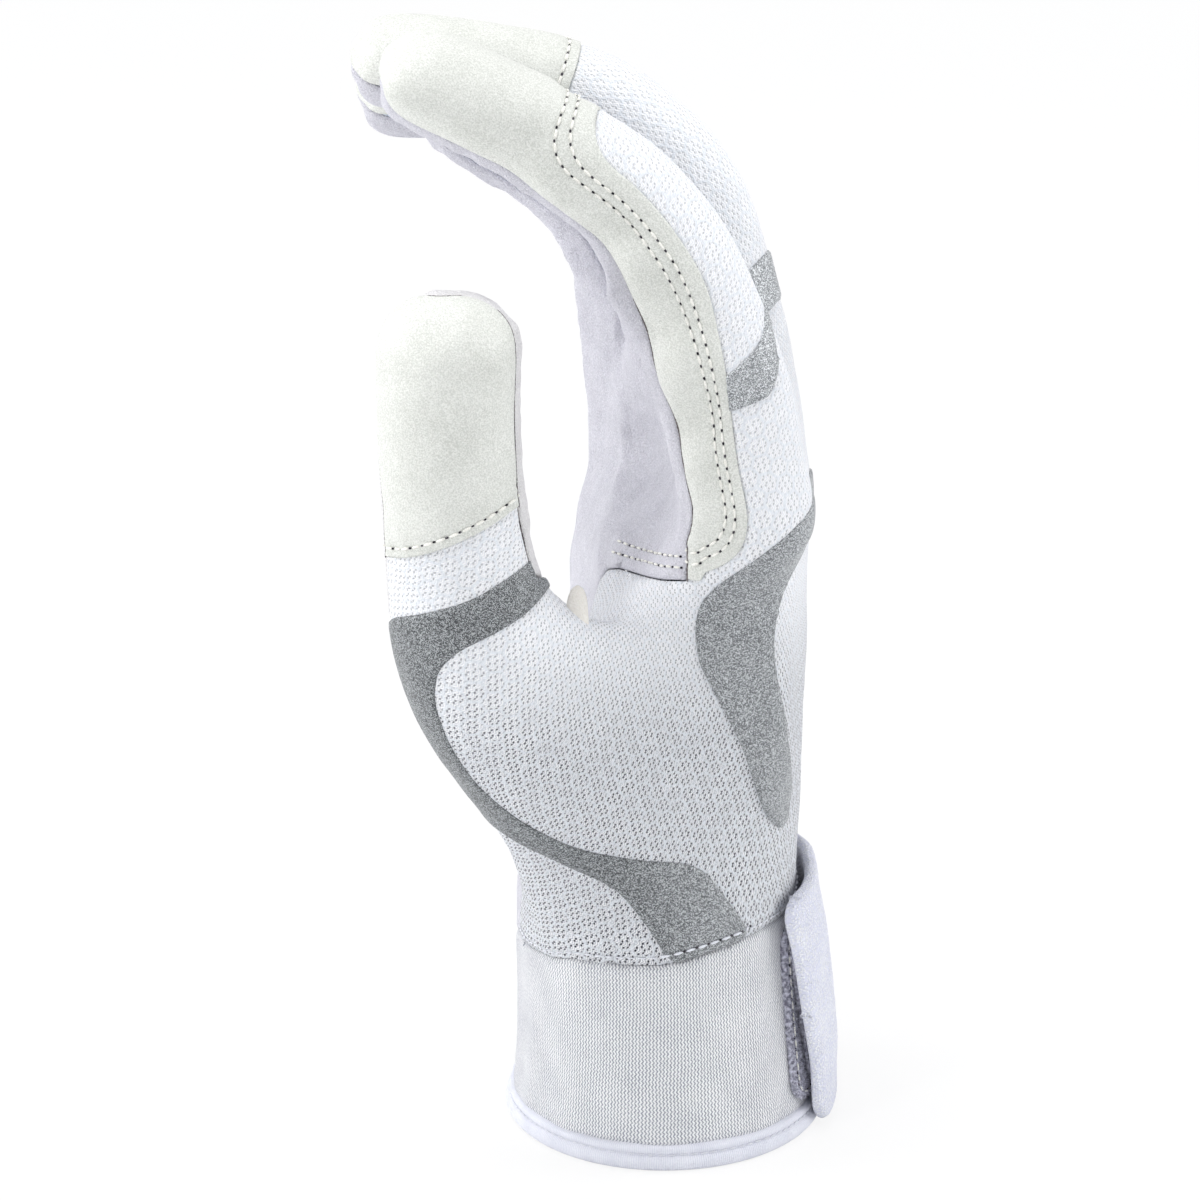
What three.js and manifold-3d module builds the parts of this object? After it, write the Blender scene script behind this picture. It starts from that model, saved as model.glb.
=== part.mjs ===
// A right-hand batting glove, standing on its cuff as if a relaxed hand filled it.
// Millimetres. +Z is up the forearm, +X is the back of the hand, +Y is the little-finger side.
// The origin is the middle of the glove's footprint, on the surface that it stands on.
//
// The glove is patterned as a sewer does it. One quad cage is fitted to the gloved hand and
// smoothed. Each point of it knows how far it lies from the seams, so every panel is the piece
// of that skin between its seams, given the thickness of its own cloth or leather.

import * as THREE from 'three';
import { mergeVertices } from 'three/addons/utils/BufferGeometryUtils.js';
import Module from 'manifold-3d';

const wasm = await Module();
wasm.setup();

// Layers: how thick each cloth or leather is, and what parts it from its neighbours.
const seamGap = 0.3;
const layerGap = 0.3;
const knitThickness = 1.2;
const leatherThickness = 1.0;
const gussetThickness = 0.8;
const syntheticThickness = 1.3;
const syntheticRise = 0.35;
const overlayThickness = 0.6;

// Hand: the three sizes that its tables of shares follow.
const mouthDepth = 56;
const palmWidth = 84;
const forkHeight = 100;
const palmCup = 15;
const thumbBall = 14;

// Level sections of the wrist and palm, from the mouth up to where the thumb parts from the hand.
// Heights are shares of forkHeight, back and palm of mouthDepth, the two sides of palmWidth, and
// cup is the share of palmCup by which the little-finger side turns towards the palm. Slant is the
// share of forkHeight by which a section falls from the thumb side to the little-finger side, and
// ball the share of thumbBall by which the ball of the thumb swells out of the palm.
const sectionShares = [
  { height: 0, slant: 0, back: 0.5, palm: -0.5, thumbSide: -0.405, littleSide: 0.405, cup: 0, ball: 0, roundness: 2 },
  { height: 0.2, slant: 0, back: 0.462, palm: -0.482, thumbSide: -0.38, littleSide: 0.382, cup: 0, ball: 0, roundness: 2 },
  { height: 0.41, slant: 0, back: 0.432, palm: -0.478, thumbSide: -0.365, littleSide: 0.375, cup: 0.03, ball: 0.35, roundness: 2.1 },
  { height: 0.6, slant: 0, back: 0.44, palm: -0.405, thumbSide: -0.4, littleSide: 0.425, cup: 0.28, ball: 1.8, roundness: 2.2 },
  { height: 0.8, slant: 0.04, back: 0.455, palm: -0.3, thumbSide: -0.45, littleSide: 0.485, cup: 0.65, ball: 0.4, roundness: 2.4 },
  { height: 1.06, slant: 0.12, back: 0.465, palm: -0.19, thumbSide: -0.475, littleSide: 0.515, cup: 1, ball: 0, roundness: 2.4 },
];
const sideTurn = 57;
const thumbFirstSection = 3;
const thumbLastSection = 5;

// Fingers, from the knuckle to the tip. A root is in shares of mouthDepth, palmWidth and
// forkHeight. Lean and flex turn the finger towards the palm, in degrees, each flex at its share
// of the length. Deep and wide are shares of fingerDepth and fingerWidth along the finger.
const indexLength = 119;
const middleLength = 125;
const ringLength = 112;
const littleLength = 86;
const fingerDepth = 23;
const fingerWidth = 20;
const flexSpan = 17;
const fingers = [
  { name: 'index', length: indexLength, rootShares: [0.25, -0.345, 1.22], fan: -1, lean: 3,
    flex: [18, 32, 12], flexShares: [0.19, 0.52, 0.74],
    deepShares: [1.05, 1.01, 0.86, 0.69], wideShares: [1.06, 1, 0.95, 0.84] },
  { name: 'middle', length: middleLength, rootShares: [0.255, -0.09, 1.23], fan: 0, lean: 6,
    flex: [8, 44, 25], flexShares: [0.2, 0.5, 0.72],
    deepShares: [1.05, 0.99, 0.85, 0.69], wideShares: [1.06, 1, 0.95, 0.84] },
  { name: 'ring', length: ringLength, rootShares: [0.17, 0.16, 1.21], fan: 0.8, lean: 6,
    flex: [12, 50, 20], flexShares: [0.19, 0.54, 0.76],
    deepShares: [1.01, 0.95, 0.82, 0.67], wideShares: [1.04, 0.97, 0.92, 0.81] },
  { name: 'little', length: littleLength, rootShares: [-0.036, 0.393, 1.14], fan: 2, lean: 4,
    flex: [6, 38, 16], flexShares: [0.19, 0.51, 0.74],
    deepShares: [0.94, 0.84, 0.75, 0.62], wideShares: [0.98, 0.87, 0.83, 0.73] },
];
const crotchHeight = 27;
const crotchDip = 5;
const fingerRingStep = 16;

// Thumb: rings from the ball of the thumb to the tip. Places are shares of mouthDepth, palmWidth
// and forkHeight, half sizes are shares of thumbWidth and thumbDepth, and tilt is in degrees: the
// first rings lean up into the web between thumb and hand.
const thumbWidth = 25.4;
const thumbDepth = 23;
const thumbShares = [
  { x: -0.42, y: -0.415, z: 0.87, wide: 0.82, deep: 0.67, tilt: 52 },
  { x: -0.54, y: -0.476, z: 1.0, wide: 0.68, deep: 0.62, tilt: 38 },
  { x: -0.63, y: -0.51, z: 1.12, wide: 0.575, deep: 0.56, tilt: 20 },
  { x: -0.67, y: -0.527, z: 1.27, wide: 0.515, deep: 0.52, tilt: 8 },
  { x: -0.687, y: -0.536, z: 1.42, wide: 0.5, deep: 0.5, tilt: 2 },
  { x: -0.692, y: -0.536, z: 1.56, wide: 0.5, deep: 0.49, tilt: 0 },
  { x: -0.69, y: -0.533, z: 1.655, wide: 0.47, deep: 0.45, tilt: 0 },
  { x: -0.688, y: -0.53, z: 1.705, wide: 0.3, deep: 0.28, tilt: 0 },
];
const thumbTipShare = 1.726;
const tipStartShare = 0.8;
const tipEndShare = 0.22;
const tipRoundShare = 0.62;

// Seams, measured on the skin. The side seam is followed by the hand's roll: the share of
// seamReach by which a point lies from it, towards the back (+) or the palm (-).
const seamReach = 18;
const sideSeamShift = 11;
const sideSeamShiftShares = [1, 0.85, 0.65, 0.45, 0.35, 0.3];
const sidePanelWidth = 13;
const sidePanelWidthShares = [1, 0.95, 0.7, 0.65, 0.65];
const sidePanelFootShare = 1.14;
const sidePanelCorner = 8;
const capShare = 0.3;
const capCorner = 9;
const gussetHalfWidth = 3.6;
const gussetTaper = 24;
const thumbCapFootShare = 1.295;
const thumbCapRisePerWidth = 0.36;
const thumbLeatherLength = 62;
const thumbSideRollShares = [1.9, 1.9, 1.9, 1.9, 1.8, 1.2, 0.62, 0.6, 0.58];
const palmRollShares = [
  [1.45, 1.45, 1.45, 1.45, 1.3, 0.8, 0.13, 0.12, 0.1],
  [1, 1, 1, 1, 0.7, 0.5, -0.5, -0.75, -0.85],
  [0.55, 0.55, 0.55, 0.5, 0, 0.2, -0.7, -0.9, -0.5],
  [0.17, 0.17, 0.17, 0.05, -0.5, -0.6, -1, -0.9, -0.9],
  [-0.28, -0.28, -0.28, -0.4, -0.9, -1, -1, -0.9, -0.5],
];

// Cuff: the elastic band, the slant of the seam above it, and the binding round its mouth.
const cuffSeamShare = 0.385;
const cuffSeamSlope = 0.22;
const cuffThickness = 2.2;
const bindingHeight = 6.6;
const bindingOutside = 0.4;
const bindingInside = 3.4;
const bindingSteps = 40;

// Vent: the slit in the cuff that the strap draws shut, with a thin stretch knit behind it.
const ventSide = 14;
const ventWidth = 3.2;
const ventTop = 31;
const ventGussetWidth = 15;
const ventGussetThickness = 0.7;

// Closure strap, wound round the back of the cuff. Turns are degrees from the back (+X)
// towards the little-finger side.
const strapEndTurn = -32;
const strapFoldTurn = 60;
const strapRootTurn = 82;
const strapThickness = 2.6;
const strapFoot = 1.2;
const strapTop = 46.5;
const strapRound = 7;
const strapRootInset = 5;
const strapSettleTurn = 26;
const foldGap = 0.6;
const patchThickness = 0.9;
const loopPatchTurns = [-22, 10];
const loopPatchHeights = [9.5, 41];
const hookPatchTurns = [-20, 6];
const hookPatchHeights = [8, 43];
const patchRound = 4;
const cornerCuts = 3;

// Silver overlays. Each outline is drawn as seen from one side of the glove and a little above:
// shares of mouthDepth to the right of the origin and of forkHeight upwards in that view.
const sightElevation = 20;
const thumbOverlaySight = 0;
const thumbOverlayShares = [
  [-0.893, 0.89], [-0.786, 0.896], [-0.625, 0.92], [-0.493, 0.965], [-0.386, 1.015], [-0.348, 0.965],
  [-0.429, 0.904], [-0.536, 0.866], [-0.661, 0.832], [-0.729, 0.796], [-0.743, 0.744], [-0.696, 0.664],
  [-0.589, 0.58], [-0.446, 0.514], [-0.275, 0.47], [-0.089, 0.452], [0.079, 0.446], [0.143, 0.424],
  [0.207, 0.374], [0.282, 0.314], [0.161, 0.284], [0.021, 0.258], [-0.054, 0.33], [-0.154, 0.4],
  [-0.304, 0.438], [-0.493, 0.488], [-0.65, 0.56], [-0.768, 0.65], [-0.843, 0.75], [-0.882, 0.83],
];
const backOverlaySight = 40;
const backOverlayShares = [
  [0.304, 1.085], [0.268, 1.115], [0.143, 1.095], [0, 1.06], [-0.107, 1.03], [-0.214, 0.995],
  [-0.295, 0.965], [-0.336, 0.93], [-0.348, 0.88], [-0.336, 0.823], [-0.277, 0.76], [-0.179, 0.66],
  [-0.089, 0.56], [-0.027, 0.51], [0.071, 0.475], [0.125, 0.49], [0.107, 0.555], [0.021, 0.65],
  [-0.057, 0.75], [-0.084, 0.825], [-0.075, 0.9], [-0.027, 0.95], [0.089, 0.995], [0.214, 1.04],
];
const littleOverlayDropShare = 0.05;
const flashHalfWidth = 6.5;
const flashHalfLength = 5;
const flashSlope = 0.6;
const flashPlaceShares = { index: 0.75, middle: 0.68, ring: 0.67, little: 0.56 };

const colours = {
  knit: 0xf4f5f7, leather: 0xe9e9f1, synthetic: 0xe9eae3, silver: 0x9ea3a4, gusset: 0xdfe6ef,
  elastic: 0xf0f1f4, binding: 0xeaebf5, strap: 0xe8e9f4, hook: 0xb9bac4,
};

// Columns run round the hand: first over the back, then the little-finger side, over the palm,
// and last the thumb side. Column c of the back faces column facingSum - c of the palm.
const littleSideColumn = 9;
const thumbSideColumn = 2 * littleSideColumn + 1;
const columns = thumbSideColumn + 1;
const facingSum = thumbSideColumn - 1;
const thumbHoleColumn = facingSum - 2;
const fitPasses = 12;
const blendPasses = 3;
const blendShare = 0.5;
const blended = [];
const snapShare = 0.03;
const lineSteps = 240;
const radians = THREE.MathUtils.degToRad;
const mix = THREE.MathUtils.lerp;

// Value of a short list of sizes at a share of its length.
function along(list, share) {
  const place = THREE.MathUtils.clamp(share, 0, 1) * (list.length - 1);
  const from = Math.min(Math.floor(place), list.length - 2);
  return mix(list[from], list[from + 1], place - from);
}

function smoothMin(a, b, reach) {
  const share = Math.max(reach - Math.abs(a - b), 0) / reach;
  return Math.min(a, b) - share * share * reach / 4;
}

// The bent middle line of a finger: its place, direction, back and half sizes at a run along it.
function fingerLine({ length, rootShares, fan, lean, flex, flexShares, deepShares, wideShares }) {
  const step = length / lineSteps;
  const points = [];
  let x = rootShares[0] * mouthDepth;
  let z = rootShares[2] * forkHeight;
  for (let i = 0; i <= lineSteps; i++) {
    const bend = flex.reduce((sum, angle, j) => {
      const joint = flexShares[j] * length;
      return sum + angle * THREE.MathUtils.smoothstep(i * step, joint - flexSpan, joint + flexSpan);
    }, lean);
    points.push({ x, z, turn: radians(bend) });
    x -= step * Math.sin(radians(bend));
    z += step * Math.cos(radians(bend));
  }
  return (run) => {
    const share = THREE.MathUtils.clamp(run / length, 0, 1);
    const point = points[Math.round(share * lineSteps)];
    const y = rootShares[1] * palmWidth + run * Math.sin(radians(fan));
    return {
      middle: new THREE.Vector3(point.x, y, point.z),
      ahead: new THREE.Vector3(-Math.sin(point.turn), 0, Math.cos(point.turn)),
      back: new THREE.Vector3(Math.cos(point.turn), 0, Math.sin(point.turn)),
      deep: along(deepShares, share) * fingerDepth / 2,
      wide: along(wideShares, share) * fingerWidth / 2,
    };
  };
}

// The cage: quads with the name of their region, and points that carry four seam measures.
// roll is the way from the side seam, across the way from the finger's middle line, tip the way
// to the fingertip, and gusset half the width of the gusset there.
const cage = { points: [], quads: [], regions: [] };
const channels = { roll: 3, across: 4, tip: 5, gusset: 6, normal: 7 };

function addPoint(place, roll, across, tip, gusset = 0) {
  cage.points.push([place.x, place.y, place.z, roll, across, tip, gusset]);
  return cage.points.length - 1;
}

function addQuad(region, ...corners) {
  cage.quads.push(corners);
  cage.regions.push(region);
}

const lines = fingers.map(fingerLine);
const rootYs = fingers.map((finger) => finger.rootShares[1] * palmWidth);
const knuckleMiddle = (rootYs[0] + rootYs[3]) / 2;
const knuckleHalf = (rootYs[3] - rootYs[0] + fingerWidth) / 2;

// Share of the half width at which one of the nine back or palm columns stands.
function columnShare(column, knuckleBlend) {
  const oval = Math.sin(radians(sideTurn) * (column - 4) / 4);
  const left = Math.max(0, Math.ceil(column / 2) - 1);
  const right = Math.min(3, Math.floor(column / 2));
  const side = column === 0 ? -1 : column === 8 ? 1 : 0;
  const y = (rootYs[left] + rootYs[right]) / 2 + side * fingerWidth / 2 * Math.SQRT1_2;
  return mix(oval, (y - knuckleMiddle) / knuckleHalf, knuckleBlend);
}

// A point of a level section. Columns 0 to 8 run over the back, 9 is the little-finger side,
// 10 to 18 come back over the palm and 19 is the thumb side.
function sectionPoint(section, column, knuckleBlend) {
  const back = section.back * mouthDepth;
  const palm = section.palm * mouthDepth;
  const low = section.thumbSide * palmWidth;
  const high = section.littleSide * palmWidth;
  let share = column === littleSideColumn ? 1 : -1;
  let depthShare = 0;
  if (column !== littleSideColumn && column !== thumbSideColumn) {
    const overBack = column < littleSideColumn;
    share = columnShare(overBack ? column : facingSum - column, knuckleBlend);
    depthShare = (1 - Math.abs(share) ** section.roundness) ** (1 / section.roundness);
    if (!overBack) depthShare *= -1;
  }
  const y = mix(low, high, (share + 1) / 2);
  const reach = Math.max(0, (y - rootYs[1]) / (high - rootYs[1]));
  const thumbReach = THREE.MathUtils.clamp((rootYs[1] - y) / (rootYs[1] - low), 0, 1);
  const swell = section.cup * palmCup * reach ** 2 + section.ball * thumbBall * thumbReach * (1 - depthShare) / 2;
  const x = mix(palm, back, (depthShare + 1) / 2) - swell;
  const height = section.height - section.slant * y / palmWidth;
  return new THREE.Vector3(x, y, height * forkHeight);
}

// Roll of the hand's points. On the thumb side the side seam swings on to the palm, where the
// knit wraps the ball of the thumb.
function handRoll(column, level) {
  const fromThumb = facingSum - column;
  if (column === thumbSideColumn) return thumbSideRollShares[level] * seamReach;
  if (column === littleSideColumn) return 0;
  if (column < littleSideColumn) return Math.min(1.7, 0.55 + 0.45 * (8 - column)) * seamReach;
  if (fromThumb < palmRollShares.length) return palmRollShares[fromThumb][level] * seamReach;
  return (column === 10 ? -0.55 : -1) * seamReach;
}

function buildHand() {
  const rings = sectionShares.map((section, level) => {
    const blend = THREE.MathUtils.smoothstep(level, 2, sectionShares.length - 1);
    return Array.from({ length: columns }, (_, column) => {
      const place = sectionPoint(section, column, blend);
      return addPoint(place, handRoll(column, level), place.y, 3 * middleLength);
    });
  });
  // Three more rings follow the fingers' own lines, up to the crotches between them.
  for (const crotchShare of [0, 0.5, 1]) {
    const level = rings.length;
    const run = crotchShare * crotchHeight;
    const frames = lines.map((line) => line(run));
    const between = [1, 0.9, 0.62][level - sectionShares.length];
    rings.push(Array.from({ length: columns }, (_, column) => {
      if (column === thumbSideColumn || column === littleSideColumn) {
        const [frame, side, finger] = column === thumbSideColumn
          ? [frames[0], -1, fingers[0]] : [frames[3], 1, fingers[3]];
        const place = frame.middle.clone();
        place.y += side * frame.wide;
        return addPoint(place, handRoll(column, level), side * frame.wide, finger.length - run);
      }
      const k = column < littleSideColumn ? column : facingSum - column;
      const sign = column < littleSideColumn ? 1 : -1;
      const left = Math.max(0, Math.ceil(k / 2) - 1);
      const right = Math.min(3, Math.floor(k / 2));
      const side = k === 0 ? -1 : k === 8 ? 1 : 0;
      const web = left !== right;
      const [a, b] = [frames[left], frames[right]];
      const slim = side ? Math.SQRT1_2 : web ? between : 1;
      const place = a.middle.clone().lerp(b.middle, 0.5);
      place.addScaledVector(a.back.clone().add(b.back), sign * slim * (a.deep + b.deep) / 4);
      place.y += side * a.wide * Math.SQRT1_2;
      if (web && crotchShare === 1) place.addScaledVector(a.ahead, -crotchDip / 2);
      const crotch = web && crotchShare === 1;
      const roll = crotch ? sign * seamReach / 2 : handRoll(column, level);
      const across = web ? a.wide : side * a.wide;
      return addPoint(place, roll, across, fingers[left].length - run, crotch ? gussetHalfWidth : 0);
    }));
  }
  for (let level = 0; level + 1 < rings.length; level++) {
    for (let column = 0; column < columns; column++) {
      const next = (column + 1) % columns;
      const thumbHole = level >= thumbFirstSection && level < thumbLastSection && column >= thumbHoleColumn;
      if (thumbHole) continue;
      addQuad('hand', rings[level][column], rings[level][next], rings[level + 1][next], rings[level + 1][column]);
    }
  }
  return rings;
}

// One point in each crotch between two fingers, and the two sides of the row of fingers.
function buildWebs(crotchRing) {
  const webs = [crotchRing[thumbSideColumn]];
  for (let f = 0; f < 3; f++) {
    const [a, b] = [lines[f](crotchHeight), lines[f + 1](crotchHeight)];
    const place = a.middle.clone().lerp(b.middle, 0.5).addScaledVector(a.ahead, -crotchDip);
    webs.push(addPoint(place, 0, a.wide, fingers[f].length - crotchHeight, gussetHalfWidth));
  }
  webs.push(crotchRing[littleSideColumn]);
  return webs;
}

// One finger: rings of eight points from the crotch ring to the tip.
function buildFinger(f, crotchRing, webs) {
  const { name, length } = fingers[f];
  const onBack = [0, 1, 2].map((i) => crotchRing[2 * f + i]);
  const onPalm = [2, 1, 0].map((i) => crotchRing[facingSum - 2 * f - i]);
  let ring = [...onBack, webs[f + 1], ...onPalm, webs[f]];
  const endDeep = lines[f](length).deep;
  const count = Math.round((length - crotchHeight) / fingerRingStep);
  const runs = Array.from({ length: count }, (_, i) =>
    mix(crotchHeight, length - endDeep * tipStartShare, (i + 1) / count));
  runs.push(length - endDeep * tipEndShare);
  runs.forEach((run, i) => {
    const frame = lines[f](run);
    const round = i === runs.length - 1 ? tipRoundShare : 1;
    const quarter = (frame.wide + frame.deep) * Math.PI / 4;
    const taper = THREE.MathUtils.smoothstep(length - run, gussetTaper / 4, gussetTaper);
    const next = Array.from({ length: 8 }, (_, corner) => {
      const turn = (corner - 1) * Math.PI / 4;
      const side = Math.sign(Math.round(Math.sin(turn) * 10));
      const place = frame.middle.clone().addScaledVector(frame.back, Math.cos(turn) * frame.deep * round);
      place.y += Math.sin(turn) * frame.wide * round;
      const outer = (side < 0 && f === 0) || (side > 0 && f === 3);
      const shift = f === 0 && side < 0 ? sideSeamShift * along(sideSeamShiftShares, run / length) : 0;
      const rollShare = [0.5, 1, 0.5, 0, -0.5, -1, -0.5, 0][corner];
      const gusset = side && !outer ? gussetHalfWidth * taper : 0;
      return addPoint(place, rollShare * quarter + shift, side * quarter * Math.abs(Math.sin(turn)),
        length - run, gusset);
    });
    for (let corner = 0; corner < 8; corner++) {
      const after = (corner + 1) % 8;
      addQuad(name, ring[corner], ring[after], next[after], next[corner]);
    }
    ring = next;
  });
  const tip = addPoint(lines[f](length).middle, 0, 0, 0);
  for (let corner = 1; corner < 8; corner += 2) {
    addQuad(name, ring[corner], ring[(corner + 1) % 8], ring[(corner + 2) % 8], tip);
  }
}

// The thumb leaves the hand through a hole of twelve points round the ball of the thumb.
function buildThumb(rings) {
  const across = [0, thumbSideColumn, facingSum, facingSum - 1, thumbHoleColumn];
  const inner = [thumbFirstSection + 1];
  let ring = [
    ...across.map((column) => rings[thumbLastSection][column]),
    ...[...inner].reverse().map((level) => rings[level][thumbHoleColumn]),
    ...[...across].reverse().map((column) => rings[thumbFirstSection][column]),
    ...inner.map((level) => rings[level][0]),
  ];
  const corners = ring.length;
  blended.push(...ring);
  for (const { x, y, z, wide, deep, tilt } of thumbShares) {
    const next = Array.from({ length: corners }, (_, corner) => {
      const turn = Math.PI / 4 + (corner - 2) * 2 * Math.PI / corners;
      const out = Math.cos(turn) * wide * thumbWidth;
      const place = new THREE.Vector3(x * mouthDepth + out * Math.cos(radians(tilt)),
        y * palmWidth + Math.sin(turn) * deep * thumbDepth, z * forkHeight + out * Math.sin(radians(tilt)));
      const roll = -Math.asin(Math.sin(turn)) * (wide * thumbWidth + deep * thumbDepth) / 2;
      return addPoint(place, roll, out, thumbTipShare * forkHeight - place.z);
    });
    for (let corner = 0; corner < corners; corner++) {
      const after = (corner + 1) % corners;
      addQuad('thumb', ring[corner], ring[after], next[after], next[corner]);
    }
    ring = next;
    if (blended.length < 2 * corners) blended.push(...ring);
  }
  const end = thumbShares[thumbShares.length - 1];
  const tip = addPoint(new THREE.Vector3(end.x * mouthDepth, end.y * palmWidth, thumbTipShare * forkHeight), 0, 0, 0);
  for (let corner = 0; corner < corners; corner += 2) {
    addQuad('thumb', ring[corner], ring[corner + 1], ring[(corner + 2) % corners], tip);
  }
}

// Which points each point of a quad mesh meets along edges, across quads and along its rim.
function neighbourhood({ points, quads }) {
  const edges = new Map();
  const around = points.map(() => ({ edges: new Set(), corners: [], quads: [], rim: [] }));
  quads.forEach((quad, q) => quad.forEach((a, i) => {
    const b = quad[(i + 1) % 4];
    const key = Math.min(a, b) * points.length + Math.max(a, b);
    if (!edges.has(key)) edges.set(key, { a, b, quads: [] });
    edges.get(key).quads.push(q);
    around[a].edges.add(b);
    around[b].edges.add(a);
    around[a].corners.push(quad[(i + 2) % 4]);
    around[a].quads.push(q);
  }));
  for (const { a, b, quads: sides } of edges.values()) {
    if (sides.length > 1) continue;
    around[a].rim.push(b);
    around[b].rim.push(a);
  }
  return { edges, around };
}

function weighted(points, terms) {
  return points[0].map((_, c) => terms.reduce((sum, [index, weight]) => sum + points[index][c] * weight, 0));
}

// Where the smooth surface passes, for each point of its cage (Catmull-Clark limit points).
function limitPoints(points, around) {
  return points.map((_, v) => {
    const { edges, corners, rim } = around[v];
    if (rim.length) return weighted(points, [[v, 4 / 6], [rim[0], 1 / 6], [rim[1], 1 / 6]]);
    const n = edges.size;
    const scale = n * (n + 5);
    return weighted(points, [[v, n * n / scale], ...[...edges].map((e) => [e, 4 / scale]),
      ...corners.map((corner) => [corner, 1 / scale])]);
  });
}

// Evens out the places where the ball of the thumb runs into the hand.
function blend(mesh) {
  const { around } = neighbourhood(mesh);
  for (let pass = 0; pass < blendPasses; pass++) {
    const moved = blended.map((v) => {
      const near = [...around[v].edges];
      const even = weighted(mesh.points, near.map((e) => [e, 1 / near.length]));
      return mesh.points[v].map((value, c) => (c < 3 ? mix(value, even[c], blendShare) : value));
    });
    moved.forEach((point, i) => {
      mesh.points[blended[i]] = point;
    });
  }
}

// Moves the cage until the smooth surface passes through the places that the cage began with.
function fit(mesh) {
  const targets = mesh.points;
  const { around } = neighbourhood(mesh);
  for (let pass = 0; pass < fitPasses; pass++) {
    const limits = limitPoints(mesh.points, around);
    mesh.points = mesh.points.map((point, v) =>
      point.map((value, c) => (c < 3 ? value + targets[v][c] - limits[v][c] : value)));
  }
}

// One Catmull-Clark step: every quad becomes four.
function refine(mesh) {
  const { points, quads, regions } = mesh;
  const { edges, around } = neighbourhood(mesh);
  const quadPoints = quads.map((quad) => weighted(points, quad.map((v) => [v, 1 / 4])));
  const refined = points.map((_, v) => {
    const { edges: near, quads: sides, rim } = around[v];
    if (rim.length) return weighted(points, [[v, 6 / 8], [rim[0], 1 / 8], [rim[1], 1 / 8]]);
    const n = near.size;
    const ofEdges = weighted(points, [[v, (n - 2) / n], ...[...near].map((e) => [e, 1 / (n * n)])]);
    const ofQuads = weighted(quadPoints, sides.map((q) => [q, 1 / (n * n)]));
    return ofEdges.map((value, c) => value + ofQuads[c]);
  });
  const quadStart = refined.length;
  refined.push(...quadPoints);
  const edgePoint = new Map();
  for (const [key, { a, b, quads: sides }] of edges) {
    const middle = weighted(points, [[a, 1 / 2], [b, 1 / 2]]);
    const across = sides.length > 1 ? weighted(quadPoints, sides.map((q) => [q, 1 / 2])) : middle;
    edgePoint.set(key, refined.length);
    refined.push(middle.map((value, c) => (value + across[c]) / 2));
  }
  const keyOf = (a, b) => Math.min(a, b) * points.length + Math.max(a, b);
  const out = { points: refined, quads: [], regions: [] };
  quads.forEach((quad, q) => quad.forEach((v, i) => {
    const ahead = edgePoint.get(keyOf(v, quad[(i + 1) % 4]));
    const behind = edgePoint.get(keyOf(v, quad[(i + 3) % 4]));
    out.quads.push([v, ahead, quadStart + q, behind]);
    out.regions.push(regions[q]);
  }));
  return out;
}

// A skin is a triangle sheet at the limit surface, whose points also carry their normal.
function skinOf(mesh) {
  const points = limitPoints(mesh.points, neighbourhood(mesh).around);
  const at = points.map(([x, y, z]) => new THREE.Vector3(x, y, z));
  const triangles = [];
  const regions = [];
  mesh.quads.forEach(([a, b, c, d], q) => {
    const first = at[a].distanceTo(at[c]) < at[b].distanceTo(at[d]);
    triangles.push(...(first ? [[a, b, c], [a, c, d]] : [[a, b, d], [b, c, d]]));
    regions.push(mesh.regions[q], mesh.regions[q]);
  });
  const normals = at.map(() => new THREE.Vector3());
  for (const [a, b, c] of triangles) {
    const normal = at[b].clone().sub(at[a]).cross(at[c].clone().sub(at[a]));
    [a, b, c].forEach((v) => normals[v].add(normal));
  }
  points.forEach((point, v) => point.push(...normals[v].normalize().toArray()));
  return { points, triangles, regions };
}

// Keeps the side of a sheet where the field is above zero, with a clean new edge along zero.
function keep(sheet, field) {
  const points = [...sheet.points];
  const made = new Map();
  const crossing = (a, b, valueA, valueB) => {
    const share = valueA / (valueA - valueB);
    if (share < snapShare) return a;
    if (share > 1 - snapShare) return b;
    const key = Math.min(a, b) * 1e6 + Math.max(a, b);
    if (!made.has(key)) {
      const [from, to, way] = a < b ? [a, b, share] : [b, a, 1 - share];
      points.push(points[from].map((value, i) => mix(value, points[to][i], way)));
      made.set(key, points.length - 1);
    }
    return made.get(key);
  };
  const triangles = [];
  const regions = [];
  sheet.triangles.forEach((triangle, index) => {
    const region = sheet.regions[index];
    const values = triangle.map((v) => field(sheet.points[v], region));
    const polygon = [];
    triangle.forEach((v, i) => {
      const j = (i + 1) % 3;
      if (values[i] > 0) polygon.push(v);
      if (values[i] > 0 !== values[j] > 0) polygon.push(crossing(v, triangle[j], values[i], values[j]));
    });
    const clean = polygon.filter((v, i) => v !== polygon[(i + 1) % polygon.length]);
    for (let i = 1; i + 1 < clean.length; i++) {
      triangles.push([clean[0], clean[i], clean[i + 1]]);
      regions.push(region);
    }
  });
  return { points, triangles, regions };
}

function regionOf(sheet, ...names) {
  const kept = sheet.triangles.map((_, i) => i).filter((i) => names.includes(sheet.regions[i]));
  return { points: sheet.points, triangles: kept.map((i) => sheet.triangles[i]), regions: kept.map((i) => sheet.regions[i]) };
}

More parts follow.
